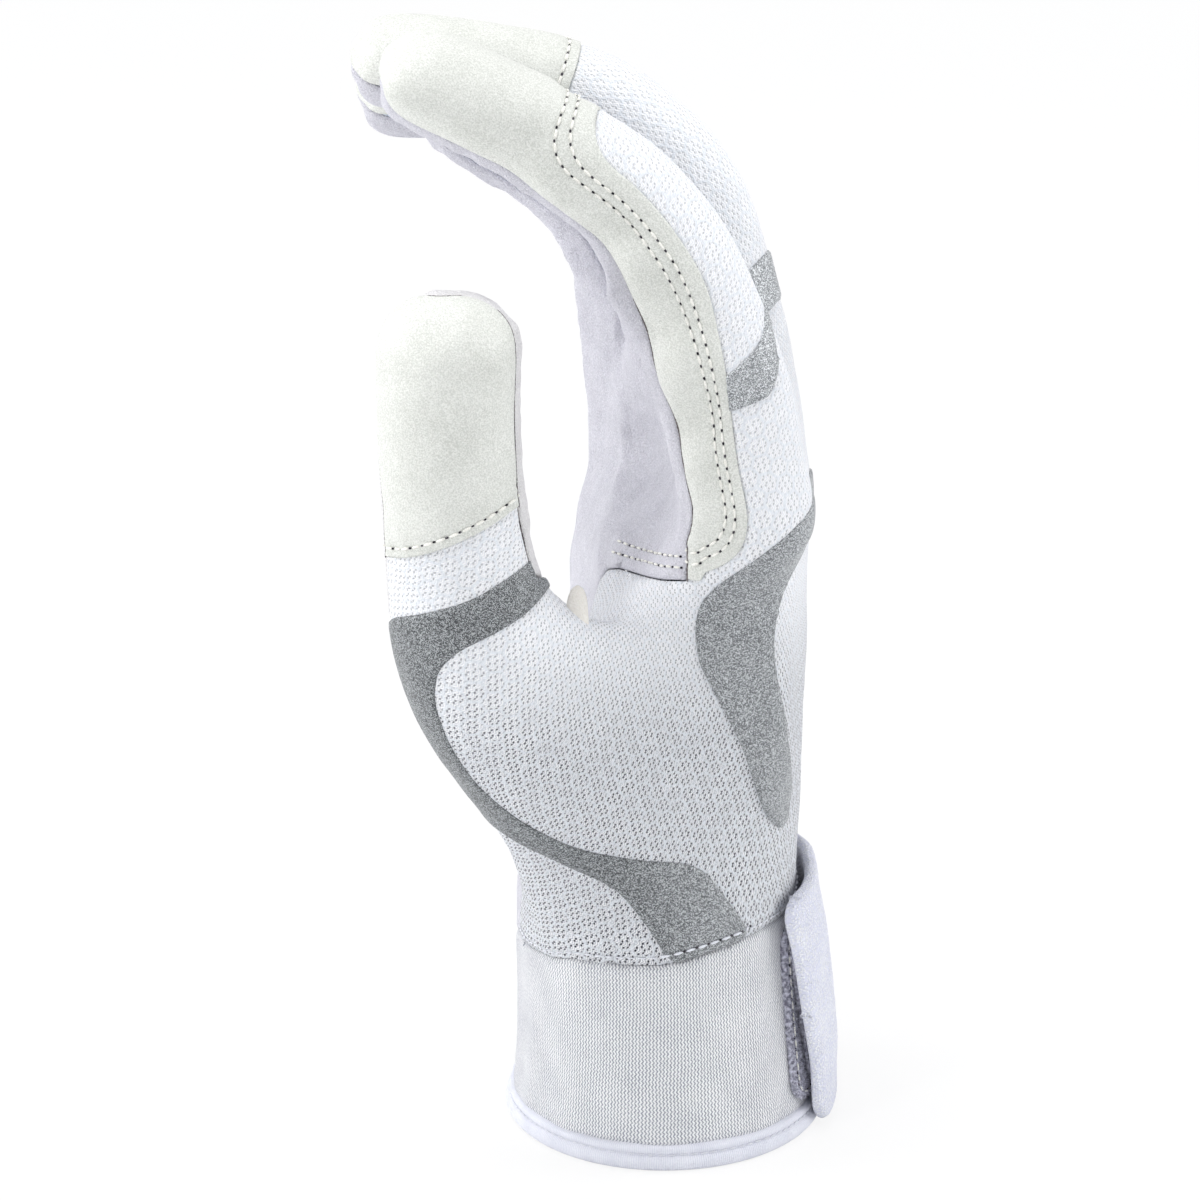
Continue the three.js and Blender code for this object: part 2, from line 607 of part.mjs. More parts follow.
// The pieces of a sheet that hang together by their edges, the largest first.
function piecesOf(sheet) {
  const parent = sheet.triangles.map((_, i) => i);
  const find = (i) => {
    while (parent[i] !== i) {
      parent[i] = parent[parent[i]];
      i = parent[i];
    }
    return i;
  };
  const edges = new Map();
  sheet.triangles.forEach(([a, b, c], i) => {
    for (const [from, to] of [[a, b], [b, c], [c, a]]) {
      const key = Math.min(from, to) * sheet.points.length + Math.max(from, to);
      if (edges.has(key)) parent[find(i)] = find(edges.get(key));
      edges.set(key, i);
    }
  });
  const groups = new Map();
  sheet.triangles.forEach((triangle, i) => {
    const root = find(i);
    if (!groups.has(root)) groups.set(root, { points: sheet.points, triangles: [], regions: [] });
    groups.get(root).triangles.push(triangle);
    groups.get(root).regions.push(sheet.regions[i]);
  });
  return [...groups.values()].sort((a, b) => b.triangles.length - a.triangles.length);
}

function middleOf(sheet) {
  const corners = sheet.triangles.flat().map((v) => sheet.points[v]);
  return new THREE.Vector3(...[0, 1, 2].map((c) => corners.reduce((sum, p) => sum + p[c], 0) / corners.length));
}

// Gives a sheet its thickness: two skins along the normals, joined all round the rim. Each
// offset is a length, or a function that gives the length at a point.
function thicken(sheet, inside, outside) {
  const index = new Map();
  const used = [];
  const indexOf = (v) => {
    if (!index.has(v)) {
      index.set(v, used.length);
      used.push(sheet.points[v]);
    }
    return index.get(v);
  };
  const faces = sheet.triangles.map((triangle) => triangle.map(indexOf));
  const half = used.length;
  const positions = [];
  for (const offset of [outside, inside]) {
    for (const point of used) {
      const reach = typeof offset === 'function' ? offset(point) : offset;
      for (let c = 0; c < 3; c++) positions.push(point[c] + reach * point[channels.normal + c]);
    }
  }
  const edges = new Set(faces.flatMap(([a, b, c]) => [[a, b], [b, c], [c, a]]).map(([a, b]) => `${a}_${b}`));
  const triangles = [...faces, ...faces.map(([a, b, c]) => [a + half, c + half, b + half])];
  for (const [a, b] of [...edges].map((edge) => edge.split('_').map(Number))) {
    if (!edges.has(`${b}_${a}`)) triangles.push([b, a, a + half], [b, a + half, b + half]);
  }
  return geometryOf(positions, triangles);
}

function geometryOf(positions, triangles) {
  const geometry = new THREE.BufferGeometry();
  geometry.setAttribute('position', new THREE.Float32BufferAttribute(positions, 3));
  geometry.setIndex(triangles.flat());
  return geometry;
}

function solidOf(geometry) {
  return new wasm.Manifold(new wasm.Mesh({
    numProp: 3,
    vertProperties: new Float32Array(geometry.getAttribute('position').array),
    triVerts: new Uint32Array(geometry.index.array),
  }));
}

function fromSolid(solid) {
  const { vertProperties, triVerts } = solid.getMesh();
  const geometry = new THREE.BufferGeometry();
  geometry.setAttribute('position', new THREE.Float32BufferAttribute(vertProperties, 3));
  geometry.setIndex([...triVerts]);
  return geometry;
}

// A closed geometry of a three.js class, with its vertices merged, as a solid.
function toolOf(geometry) {
  const bare = geometry.clone();
  bare.deleteAttribute('normal');
  bare.deleteAttribute('uv');
  return solidOf(mergeVertices(bare));
}

const rings = buildHand();
const crotchRing = rings[rings.length - 1];
const webs = buildWebs(crotchRing);
fingers.forEach((_, f) => buildFinger(f, crotchRing, webs));
buildThumb(rings);
blend(cage);
fit(cage);
const panelMesh = refine(cage);
const panelSkin = skinOf(panelMesh);
const fineSkin = skinOf(refine(panelMesh));

const { roll, across, tip, gusset } = channels;
const cuffLine = ([x, , z]) => z - cuffSeamShare * forkHeight - cuffSeamSlope * x;
const turnOf = ([x, y]) => THREE.MathUtils.radToDeg(Math.atan2(y, x));

// Seams of the panels: each field is above zero on the panel's own side.
const upper = keep(panelSkin, (p) => cuffLine(p) - seamGap / 2);
const backSide = keep(upper, (p) => p[roll] - p[gusset] - seamGap / 2);
const palmSide = keep(upper, (p) => -p[roll] - p[gusset] - seamGap / 2);
const gussetBack = keep(upper, (p) => p[gusset] - p[roll] - seamGap / 2);
const gussets = piecesOf(keep(gussetBack, (p) => p[gusset] + p[roll] - seamGap / 2))
  .slice(0, 3).sort((a, b) => middleOf(a).y - middleOf(b).y);
const capField = (p, region) => capShare * (fingers.find(({ name }) => name === region) ?? fingers[0]).length - p[tip];
const thumbCapField = ([x, , z]) => z - thumbCapFootShare * forkHeight
  - thumbCapRisePerWidth * (x - thumbShares[5].x * mouthDepth);
const sidePanelField = (p) => {
  const width = sidePanelWidth * along(sidePanelWidthShares, 1 - p[tip] / indexLength);
  const strip = smoothMin(width - p[roll], p[2] - sidePanelFootShare * forkHeight, sidePanelCorner);
  return -smoothMin(-Math.min(strip, -p[across]), -capField(p, 'index'), capCorner);
};
const knitField = (p, region) => {
  if (region === 'thumb') return -thumbCapField(p);
  return region === 'index' || region === 'hand' ? -sidePanelField(p) : -capField(p, region);
};
const capOf = (name) => piecesOf(keep(regionOf(backSide, name), (p) => capField(p, name) - seamGap / 2))[0];
const sidePanel = piecesOf(keep(regionOf(backSide, 'index', 'hand'), (p) => sidePanelField(p) - seamGap / 2))[0];
const thumbCap = piecesOf(keep(regionOf(backSide, 'thumb'), (p) => thumbCapField(p) - seamGap / 2))[0];
const knit = piecesOf(keep(backSide, (p, region) => knitField(p, region) - seamGap / 2))[0];
const thumbLeatherField = (p, region) => (region === 'thumb' ? thumbLeatherLength - p[tip] : -thumbLeatherLength);
const thumbLeather = piecesOf(keep(palmSide, (p, region) => thumbLeatherField(p, region) - seamGap / 2))[0];
const palmLeather = piecesOf(keep(palmSide, (p, region) => -thumbLeatherField(p, region) - seamGap / 2))[0];

const onKnit = (sheet) => thicken(sheet, -knitThickness, 0);
const onLeather = (sheet) => thicken(sheet, -leatherThickness, 0);
const onSynthetic = (sheet) => thicken(sheet, syntheticRise - syntheticThickness, syntheticRise);
const onGusset = (sheet) => thicken(sheet, -gussetThickness, 0);

// An overlay lies on the knit and is cut along an outline drawn in one view of the glove.
function sightOf(turn) {
  const side = new THREE.Vector3(Math.cos(radians(turn)), Math.sin(radians(turn)), 0);
  const level = new THREE.Vector3(Math.sin(radians(turn)), -Math.cos(radians(turn)), 0);
  const rise = radians(sightElevation);
  const up = new THREE.Vector3(0, 0, Math.cos(rise)).addScaledVector(level, -Math.sin(rise));
  return { side, up, toward: new THREE.Vector3().crossVectors(side, up) };
}

function overlay(turn, outlineShares) {
  const { side, up, toward } = sightOf(turn);
  const facing = (p) => toward.x * p[7] + toward.y * p[8] + toward.z * p[9];
  const base = keep(regionOf(knit, 'hand', 'thumb'), facing);
  const outline = outlineShares.map(([right, height]) => new THREE.Vector2(right * mouthDepth, height * forkHeight));
  const prism = new THREE.ExtrudeGeometry(new THREE.Shape(outline), { depth: 2 * forkHeight, bevelEnabled: false });
  prism.applyMatrix4(new THREE.Matrix4().makeBasis(side, up, toward));
  const cloth = solidOf(thicken(base, layerGap, layerGap + overlayThickness));
  const bodies = cloth.intersect(toolOf(prism)).decompose();
  return fromSolid(bodies.sort((a, b) => b.volume() - a.volume())[0]);
}

const mirrored = (outlineShares) => outlineShares.map(([right, height]) => [-right, height - littleOverlayDropShare]).reverse();

// A slanting silver flash on the back of one finger.
function flash({ name, length }, f) {
  const place = flashPlaceShares[name] * length;
  const aside = (p) => p[1] - lines[f](length - p[tip]).middle.y;
  const slant = (p) => p[tip] - place - flashSlope * aside(p);
  let sheet = regionOf(backSide, name);
  sheet = keep(sheet, (p) => flashHalfWidth - aside(p));
  sheet = keep(sheet, (p) => flashHalfWidth + aside(p));
  sheet = keep(sheet, (p) => flashHalfLength - slant(p));
  sheet = keep(sheet, (p) => flashHalfLength + slant(p));
  return thicken(piecesOf(sheet)[0], layerGap, layerGap + overlayThickness);
}

// Cuff, binding and the vent that is cut through both.
const cuffSheet = keep(keep(panelSkin, (p) => -cuffLine(p) - seamGap / 2), (p) => p[2] - bindingHeight - layerGap);
const vent = new THREE.BoxGeometry(mouthDepth, ventWidth, 2 * ventTop);
vent.translate(mouthDepth / 2, ventSide, 0);
const cutVent = (geometry) => fromSolid(solidOf(geometry).subtract(toolOf(vent)));

function binding() {
  const depth = sectionShares[0].back * mouthDepth;
  const width = sectionShares[0].littleSide * palmWidth;
  const round = (bindingOutside + bindingInside) / 4;
  const profile = [];
  const corners = [[1, 0], [1, 1], [0, 1], [0, 0]];
  corners.forEach(([outer, top], i) => {
    const centre = new THREE.Vector2(outer ? bindingOutside - round : round - bindingInside,
      top ? bindingHeight - round : round);
    for (const step of [0, 1]) {
      const turn = Math.PI / 2 * (i - 1 + step);
      profile.push(new THREE.Vector2(centre.x + round * Math.cos(turn), centre.y + round * Math.sin(turn)));
    }
  });
  const positions = [];
  const triangles = [];
  for (let i = 0; i < bindingSteps; i++) {
    const turn = 2 * Math.PI * i / bindingSteps;
    const normal = new THREE.Vector2(Math.cos(turn) / depth, Math.sin(turn) / width).normalize();
    for (const { x: out, y: height } of profile) {
      positions.push(depth * Math.cos(turn) + out * normal.x, width * Math.sin(turn) + out * normal.y, height);
    }
    for (let j = 0; j < profile.length; j++) {
      const [a, b] = [j, (j + 1) % profile.length].map((k) => i * profile.length + k);
      const [c, d] = [j, (j + 1) % profile.length].map((k) => ((i + 1) % bindingSteps) * profile.length + k);
      triangles.push([a, c, d], [a, d, b]);
    }
  }
  return geometryOf(positions, triangles);
}

function ventGusset() {
  let sheet = keep(cuffSheet, (p) => p[0]);
  sheet = keep(sheet, (p) => ventGussetWidth / 2 - (p[1] - ventSide));
  sheet = keep(sheet, (p) => ventGussetWidth / 2 + (p[1] - ventSide));
  sheet = keep(sheet, (p) => ventTop + ventGussetWidth / 4 - p[2]);
  const outside = -cuffThickness - layerGap;
  return thicken(sheet, outside - ventGussetThickness, outside);
}

// A rounded patch of the skin round the back of the cuff, between two turns and two heights.
function wristPatch([firstTurn, lastTurn], [low, high], inside, outside, round, rightRound = round) {
  const arc = (turn) => radians(turn) * mouthDepth / 2;
  const way = (p) => arc(turnOf(p));
  let sheet = keep(regionOf(panelSkin, 'hand'), (p) => p[0] + p[1] * Math.SQRT1_2);
  sheet = keep(keep(sheet, (p) => p[2] - low), (p) => high - p[2]);
  sheet = keep(keep(sheet, (p) => way(p) - arc(firstTurn)), (p) => arc(lastTurn) - way(p));
  for (const [side, reach] of [[-1, round], [1, rightRound]]) {
    for (const top of [-1, 1]) {
      for (let step = 1; reach && step <= cornerCuts; step++) {
        const turn = Math.PI / 2 * step / (cornerCuts + 1);
        const centre = [side < 0 ? arc(firstTurn) + reach : arc(lastTurn) - reach, top < 0 ? low + reach : high - reach];
        sheet = keep(sheet, (p) => reach - side * (way(p) - centre[0]) * Math.cos(turn)
          - top * (p[2] - centre[1]) * Math.sin(turn));
      }
    }
  }
  return thicken(piecesOf(sheet)[0], inside, outside);
}

const loopOutside = layerGap + patchThickness;
const hookInside = loopOutside + layerGap;
const hookOutside = hookInside + patchThickness;
const strapInside = hookOutside + layerGap;
// The binding stands upright while the skin draws in above it, so the strap's root clears both.
const drawIn = (sectionShares[0].back - sectionShares[1].back) * mouthDepth
  / ((sectionShares[1].height - sectionShares[0].height) * forkHeight);
const strapRoot = bindingOutside + drawIn * bindingHeight + 2 * layerGap;
const settled = (p) => THREE.MathUtils.smoothstep(turnOf(p), loopPatchTurns[1], loopPatchTurns[1] + strapSettleTurn);
const strapLower = (p) => mix(strapInside, strapRoot, settled(p));
const strapUpper = (p) => strapLower(p) + strapThickness;
const foldHalf = THREE.MathUtils.radToDeg(foldGap / mouthDepth);
const strapTurns = [strapEndTurn, strapFoldTurn - foldHalf];
const anchorTurns = [strapFoldTurn + foldHalf, strapRootTurn];
const anchorHeights = [strapFoot, strapTop];

const pieces = {
  palm_leather: [onLeather(palmLeather), 'leather'],
  thumb_leather: [onLeather(thumbLeather), 'leather'],
  back_knit: [onKnit(knit), 'knit'],
  index_side_panel: [onSynthetic(sidePanel), 'synthetic'],
  thumb_cap: [onSynthetic(thumbCap), 'synthetic'],
  middle_cap: [onSynthetic(capOf('middle')), 'synthetic'],
  ring_cap: [onSynthetic(capOf('ring')), 'synthetic'],
  little_cap: [onSynthetic(capOf('little')), 'synthetic'],
  gusset_index_middle: [onGusset(gussets[0]), 'gusset'],
  gusset_middle_ring: [onGusset(gussets[1]), 'gusset'],
  gusset_ring_little: [onGusset(gussets[2]), 'gusset'],
  thumb_overlay: [overlay(thumbOverlaySight, thumbOverlayShares), 'silver'],
  back_overlay: [overlay(backOverlaySight, backOverlayShares), 'silver'],
  little_side_overlay: [overlay(180 - backOverlaySight, mirrored(backOverlayShares)), 'silver'],
  index_flash: [flash(fingers[0], 0), 'silver'],
  middle_flash: [flash(fingers[1], 1), 'silver'],
  ring_flash: [flash(fingers[2], 2), 'silver'],
  little_flash: [flash(fingers[3], 3), 'silver'],
  cuff_band: [cutVent(thicken(cuffSheet, -cuffThickness, 0)), 'elastic'],
  hem_binding: [cutVent(binding()), 'binding'],
  vent_gusset: [ventGusset(), 'gusset'],
  cuff_loop_patch: [wristPatch(loopPatchTurns, loopPatchHeights, layerGap, loopOutside, patchRound), 'hook'],
  strap_hook_patch: [wristPatch(hookPatchTurns, hookPatchHeights, hookInside, hookOutside, patchRound), 'hook'],
  strap: [wristPatch(strapTurns, anchorHeights, strapLower, strapUpper, strapRound, 0), 'strap'],
  strap_anchor: [wristPatch(anchorTurns, anchorHeights, strapLower, strapUpper, 0, strapRootInset), 'strap'],
};

const glove = new THREE.Group();
for (const [name, [geometry, colour]] of Object.entries(pieces)) {
  const mesh = new THREE.Mesh(geometry, new THREE.MeshStandardMaterial({
    color: colours[colour], roughness: colour === 'silver' ? 0.45 : 0.85, metalness: 0,
  }));
  mesh.name = name;
  glove.add(mesh);
}

const box = new THREE.Box3().setFromObject(glove);
const middle = box.getCenter(new THREE.Vector3());
glove.position.set(-middle.x, -middle.y, -box.min.z);

export default glove;
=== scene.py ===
import math

import bmesh
import bpy
import numpy as np
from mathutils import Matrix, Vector, noise


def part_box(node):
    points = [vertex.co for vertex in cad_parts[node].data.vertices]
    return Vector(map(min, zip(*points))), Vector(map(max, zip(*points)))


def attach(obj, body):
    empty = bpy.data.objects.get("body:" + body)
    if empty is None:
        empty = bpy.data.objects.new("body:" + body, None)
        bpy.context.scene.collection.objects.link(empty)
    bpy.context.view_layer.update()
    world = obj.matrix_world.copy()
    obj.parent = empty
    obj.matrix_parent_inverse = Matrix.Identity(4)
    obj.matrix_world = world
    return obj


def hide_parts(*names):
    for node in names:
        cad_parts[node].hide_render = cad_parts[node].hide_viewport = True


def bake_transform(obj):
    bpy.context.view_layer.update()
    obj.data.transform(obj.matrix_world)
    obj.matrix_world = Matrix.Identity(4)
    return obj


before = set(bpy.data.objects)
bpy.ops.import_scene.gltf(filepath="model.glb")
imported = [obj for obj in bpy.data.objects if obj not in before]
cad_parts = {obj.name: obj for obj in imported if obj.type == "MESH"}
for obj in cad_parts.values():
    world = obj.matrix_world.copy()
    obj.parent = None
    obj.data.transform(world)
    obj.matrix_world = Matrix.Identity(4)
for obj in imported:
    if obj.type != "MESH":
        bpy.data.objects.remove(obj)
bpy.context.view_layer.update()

scene = bpy.context.scene
mm = 0.001

# Camera. A long lens stands a few metres in front of the thumb and 20 degrees above level, so that
# one millimetre of the glove is 5.5 pixels of the photograph.
image_side = 1200
pixels_per_mm = 5.5
camera_elevation = math.radians(20)
camera_distance = 3200 * mm
aim = Vector((0, 6.5, 98.2)) * mm
camera = bpy.data.objects.new("camera", bpy.data.cameras.new("camera"))
scene.collection.objects.link(camera)
camera.data.sensor_width = 36
camera.data.lens = camera.data.sensor_width * camera_distance / (image_side / pixels_per_mm * mm)
camera.data.clip_start = 0.1
camera.data.clip_end = 20
away = Vector((0, -math.cos(camera_elevation), math.sin(camera_elevation)))
camera.location = aim + away * camera_distance
camera.rotation_euler = (-away).to_track_quat("-Z", "Y").to_euler()
scene.camera = camera

# The hand that fills the glove. The panels are all cut from one skin, which is a smooth quad cage
# round a relaxed right hand: a wrist and palm of level sections, four bent fingers and a thumb.
# Lengths are millimetres from the middle of the cuff's mouth, and shares are of the first five.
mouth_depth = 56
palm_width = 84
fork_height = 100
palm_cup = 15
thumb_ball = 14
section_columns = ("height", "slant", "back", "palm", "thumb_side", "little_side", "cup", "ball", "roundness")
section_shares = (
    (0, 0, 0.5, -0.5, -0.405, 0.405, 0, 0, 2),
    (0.2, 0, 0.462, -0.482, -0.38, 0.382, 0, 0, 2),
    (0.41, 0, 0.432, -0.478, -0.365, 0.375, 0.03, 0.35, 2.1),
    (0.6, 0, 0.44, -0.405, -0.4, 0.425, 0.28, 1.8, 2.2),
    (0.8, 0.04, 0.455, -0.3, -0.45, 0.485, 0.65, 0.4, 2.4),
    (1.06, 0.12, 0.465, -0.19, -0.475, 0.515, 1, 0, 2.4),
)
sections = [dict(zip(section_columns, shares)) for shares in section_shares]
side_turn = math.radians(57)
thumb_first_section, thumb_last_section = 3, 5

finger_depth, finger_width, flex_span = 23, 20, 17
finger_columns = ("length", "root_shares", "fan", "lean", "flex", "flex_shares", "deep_shares", "wide_shares")
fingers = {
    "index": (119, (0.25, -0.345, 1.22), -1, 3, (18, 32, 12), (0.19, 0.52, 0.74),
              (1.05, 1.01, 0.86, 0.69), (1.06, 1, 0.95, 0.84)),
    "middle": (125, (0.255, -0.09, 1.23), 0, 6, (8, 44, 25), (0.2, 0.5, 0.72),
               (1.05, 0.99, 0.85, 0.69), (1.06, 1, 0.95, 0.84)),
    "ring": (112, (0.17, 0.16, 1.21), 0.8, 6, (12, 50, 20), (0.19, 0.54, 0.76),
             (1.01, 0.95, 0.82, 0.67), (1.04, 0.97, 0.92, 0.81)),
    "little": (86, (-0.036, 0.393, 1.14), 2, 4, (6, 38, 16), (0.19, 0.51, 0.74),
               (0.94, 0.84, 0.75, 0.62), (0.98, 0.87, 0.83, 0.73)),
}
fingers = {name: dict(zip(finger_columns, values)) for name, values in fingers.items()}
finger_names = list(fingers)
crotch_height, crotch_dip, finger_ring_step = 27, 5, 16

thumb_width, thumb_depth, thumb_tip_height = 25.4, 23, 172.6
thumb_rings = (  # x, y, z, half width, half depth as shares, tilt in degrees
    (-0.42, -0.415, 0.87, 0.82, 0.67, 52), (-0.54, -0.476, 1.0, 0.68, 0.62, 38),
    (-0.63, -0.51, 1.12, 0.575, 0.56, 20), (-0.67, -0.527, 1.27, 0.515, 0.52, 8),
    (-0.687, -0.536, 1.42, 0.5, 0.5, 2), (-0.692, -0.536, 1.56, 0.5, 0.49, 0),
    (-0.69, -0.533, 1.655, 0.47, 0.45, 0), (-0.688, -0.53, 1.705, 0.3, 0.28, 0),
)
tip_start_share, tip_end_share, tip_round_share = 0.8, 0.22, 0.62

seam_reach, side_seam_shift, gusset_half_width, gusset_taper = 18, 11, 3.6, 24
side_seam_shift_shares = (1, 0.85, 0.65, 0.45, 0.35, 0.3)
thumb_side_roll_shares = (1.9, 1.9, 1.9, 1.9, 1.8, 1.2, 0.62, 0.6, 0.58)
palm_roll_shares = (
    (1.45, 1.45, 1.45, 1.45, 1.3, 0.8, 0.13, 0.12, 0.1),
    (1, 1, 1, 1, 0.7, 0.5, -0.5, -0.75, -0.85),
    (0.55, 0.55, 0.55, 0.5, 0, 0.2, -0.7, -0.9, -0.5),
    (0.17, 0.17, 0.17, 0.05, -0.5, -0.6, -1, -0.9, -0.9),
    (-0.28, -0.28, -0.28, -0.4, -0.9, -1, -1, -0.9, -0.5),
)
ring_columns, thumb_side_column, little_side_column = 20, 19, 9
fit_passes, blend_passes, blend_share = 12, 3, 0.5
fine_level, skin_level = 4, 3

ROLL, ACROSS, TIP, GUSSET, NORMAL, EDGE = 3, 4, 5, 6, 7, 10
X, Y, Z = 0, 1, 2


def smoothstep(value, low, high):
    share = np.clip((value - low) / (high - low), 0, 1)
    return share * share * (3 - 2 * share)


def along(shares, share):
    return np.interp(np.clip(share, 0, 1) * (len(shares) - 1), range(len(shares)), shares)


def smooth_min(a, b, reach):
    share = np.maximum(reach - np.abs(a - b), 0) / reach
    return np.minimum(a, b) - share * share * reach / 4


def finger_line(finger, steps=240):
    """The bent middle line of a finger: its frame and half sizes at a run along it."""
    step = finger["length"] / steps
    runs = np.arange(steps + 1) * step
    bend = np.full(steps + 1, float(finger["lean"]))
    for angle, share in zip(finger["flex"], finger["flex_shares"]):
        joint = share * finger["length"]
        bend += angle * smoothstep(runs, joint - flex_span, joint + flex_span)
    bend = np.radians(bend)
    shift = np.cumsum(np.stack([-np.sin(bend), np.cos(bend)], 1), 0) * step
    shift = np.vstack([[0, 0], shift[:-1]])
    root = finger["root_shares"]

    def at(run):
        share = min(max(run / finger["length"], 0), 1)
        i = int(math.floor(share * steps + 0.5))
        return {
            "middle": np.array([root[0] * mouth_depth + shift[i, 0],
                                root[1] * palm_width + run * math.sin(math.radians(finger["fan"])),
                                root[2] * fork_height + shift[i, 1]]),
            "ahead": np.array([-math.sin(bend[i]), 0, math.cos(bend[i])]),
            "back": np.array([math.cos(bend[i]), 0, math.sin(bend[i])]),
            "deep": along(finger["deep_shares"], share) * finger_depth / 2,
            "wide": along(finger["wide_shares"], share) * finger_width / 2,
        }
    return at


lines = [finger_line(finger) for finger in fingers.values()]
lengths = [finger["length"] for finger in fingers.values()]
root_ys = [finger["root_shares"][1] * palm_width for finger in fingers.values()]
cage, cage_quads, cage_regions, blended = [], [], [], []
region_names = ["hand", *finger_names, "thumb"]


def add_point(place, roll, across, tip, gusset=0):
    cage.append([*place, roll, across, tip, gusset])
    return len(cage) - 1


def add_quad(region, *corners):
    cage_quads.append(corners)
    cage_regions.append(region_names.index(region))


def beside(column):
    """The fingers to the left and right of a column, and whether it is on the row's own side."""
    return max(0, -(-column // 2) - 1), min(3, column // 2), {0: -1, 8: 1}.get(column, 0)


def column_share(column, knuckle_blend):
    oval = math.sin(side_turn * (column - 4) / 4)
    left, right, side = beside(column)
    y = (root_ys[left] + root_ys[right]) / 2 + side * finger_width / 2 * math.sqrt(0.5)
    middle = (root_ys[0] + root_ys[3]) / 2
    half = (root_ys[3] - root_ys[0] + finger_width) / 2
    return oval + ((y - middle) / half - oval) * knuckle_blend


def section_point(section, column, knuckle_blend):
    back, palm = section["back"] * mouth_depth, section["palm"] * mouth_depth
    low, high = section["thumb_side"] * palm_width, section["little_side"] * palm_width
    share, depth_share = (1 if column == little_side_column else -1), 0
    if column not in (little_side_column, thumb_side_column):
        over_back = column < little_side_column
        share = column_share(column if over_back else 18 - column, knuckle_blend)
        depth_share = (1 - abs(share) ** section["roundness"]) ** (1 / section["roundness"])
        depth_share *= 1 if over_back else -1
    y = low + (high - low) * (share + 1) / 2
    reach = max(0, (y - root_ys[1]) / (high - root_ys[1]))
    thumb_reach = min(max((root_ys[1] - y) / (root_ys[1] - low), 0), 1)
    swell = section["cup"] * palm_cup * reach ** 2
    swell += section["ball"] * thumb_ball * thumb_reach * (1 - depth_share) / 2
    x = palm + (back - palm) * (depth_share + 1) / 2 - swell
    height = section["height"] - section["slant"] * y / palm_width
    return x, y, height * fork_height


def hand_roll(column, level):
    """How far round from the side seam a point of the hand lies: above zero on the knit's side."""
    from_thumb = 18 - column
    if column == thumb_side_column:
        return thumb_side_roll_shares[level] * seam_reach
    if column == little_side_column:
        return 0
    if column < little_side_column:
        return min(1.7, 0.55 + 0.45 * (8 - column)) * seam_reach
    if from_thumb < len(palm_roll_shares):
        return palm_roll_shares[from_thumb][level] * seam_reach
    return (-0.55 if column == 10 else -1) * seam_reach


def build_hand():
    rings = []
    for level, section in enumerate(sections):
        knuckle_blend = float(smoothstep(level, 2, len(sections) - 1))
        ring = []
        for column in range(ring_columns):
            place = section_point(section, column, knuckle_blend)
            ring.append(add_point(place, hand_roll(column, level), place[1], 3 * lengths[1]))
        rings.append(ring)
    for crotch_share, between in ((0, 1), (0.5, 0.9), (1, 0.62)):
        level, run, ring = len(rings), crotch_share * crotch_height, []
        frames = [line(run) for line in lines]
        for column in range(ring_columns):
            if column in (thumb_side_column, little_side_column):
                f, side = (0, -1) if column == thumb_side_column else (3, 1)
                place = frames[f]["middle"] + [0, side * frames[f]["wide"], 0]
                across = side * frames[f]["wide"]
                ring.append(add_point(place, hand_roll(column, level), across, lengths[f] - run))
                continue
            over_back = column < little_side_column
            left, right, side = beside(column if over_back else 18 - column)
            sign, web = (1 if over_back else -1), left != right
            a, b = frames[left], frames[right]
            slim = math.sqrt(0.5) if side else between if web else 1
            place = (a["middle"] + b["middle"]) / 2
            place = place + (a["back"] + b["back"]) * sign * slim * (a["deep"] + b["deep"]) / 4
            place[Y] += side * a["wide"] * math.sqrt(0.5)
            crotch = web and crotch_share == 1
            if crotch:
                place = place - a["ahead"] * crotch_dip / 2
            roll = sign * seam_reach / 2 if crotch else hand_roll(column, level)
            ring.append(add_point(place, roll, a["wide"] if web else side * a["wide"],
                                  lengths[left] - run, gusset_half_width if crotch else 0))
        rings.append(ring)
    for level in range(len(rings) - 1):
        for column in range(ring_columns):
            if thumb_first_section <= level < thumb_last_section and column >= 16:
                continue
            after = (column + 1) % ring_columns
            add_quad("hand", rings[level][column], rings[level][after],
                     rings[level + 1][after], rings[level + 1][column])
    return rings


def build_webs(crotch_ring):
    webs = [crotch_ring[thumb_side_column]]
    for f in range(3):
        a, b = lines[f](crotch_height), lines[f + 1](crotch_height)
        place = (a["middle"] + b["middle"]) / 2 - a["ahead"] * crotch_dip
        webs.append(add_point(place, 0, a["wide"], lengths[f] - crotch_height, gusset_half_width))
    return [*webs, crotch_ring[little_side_column]]


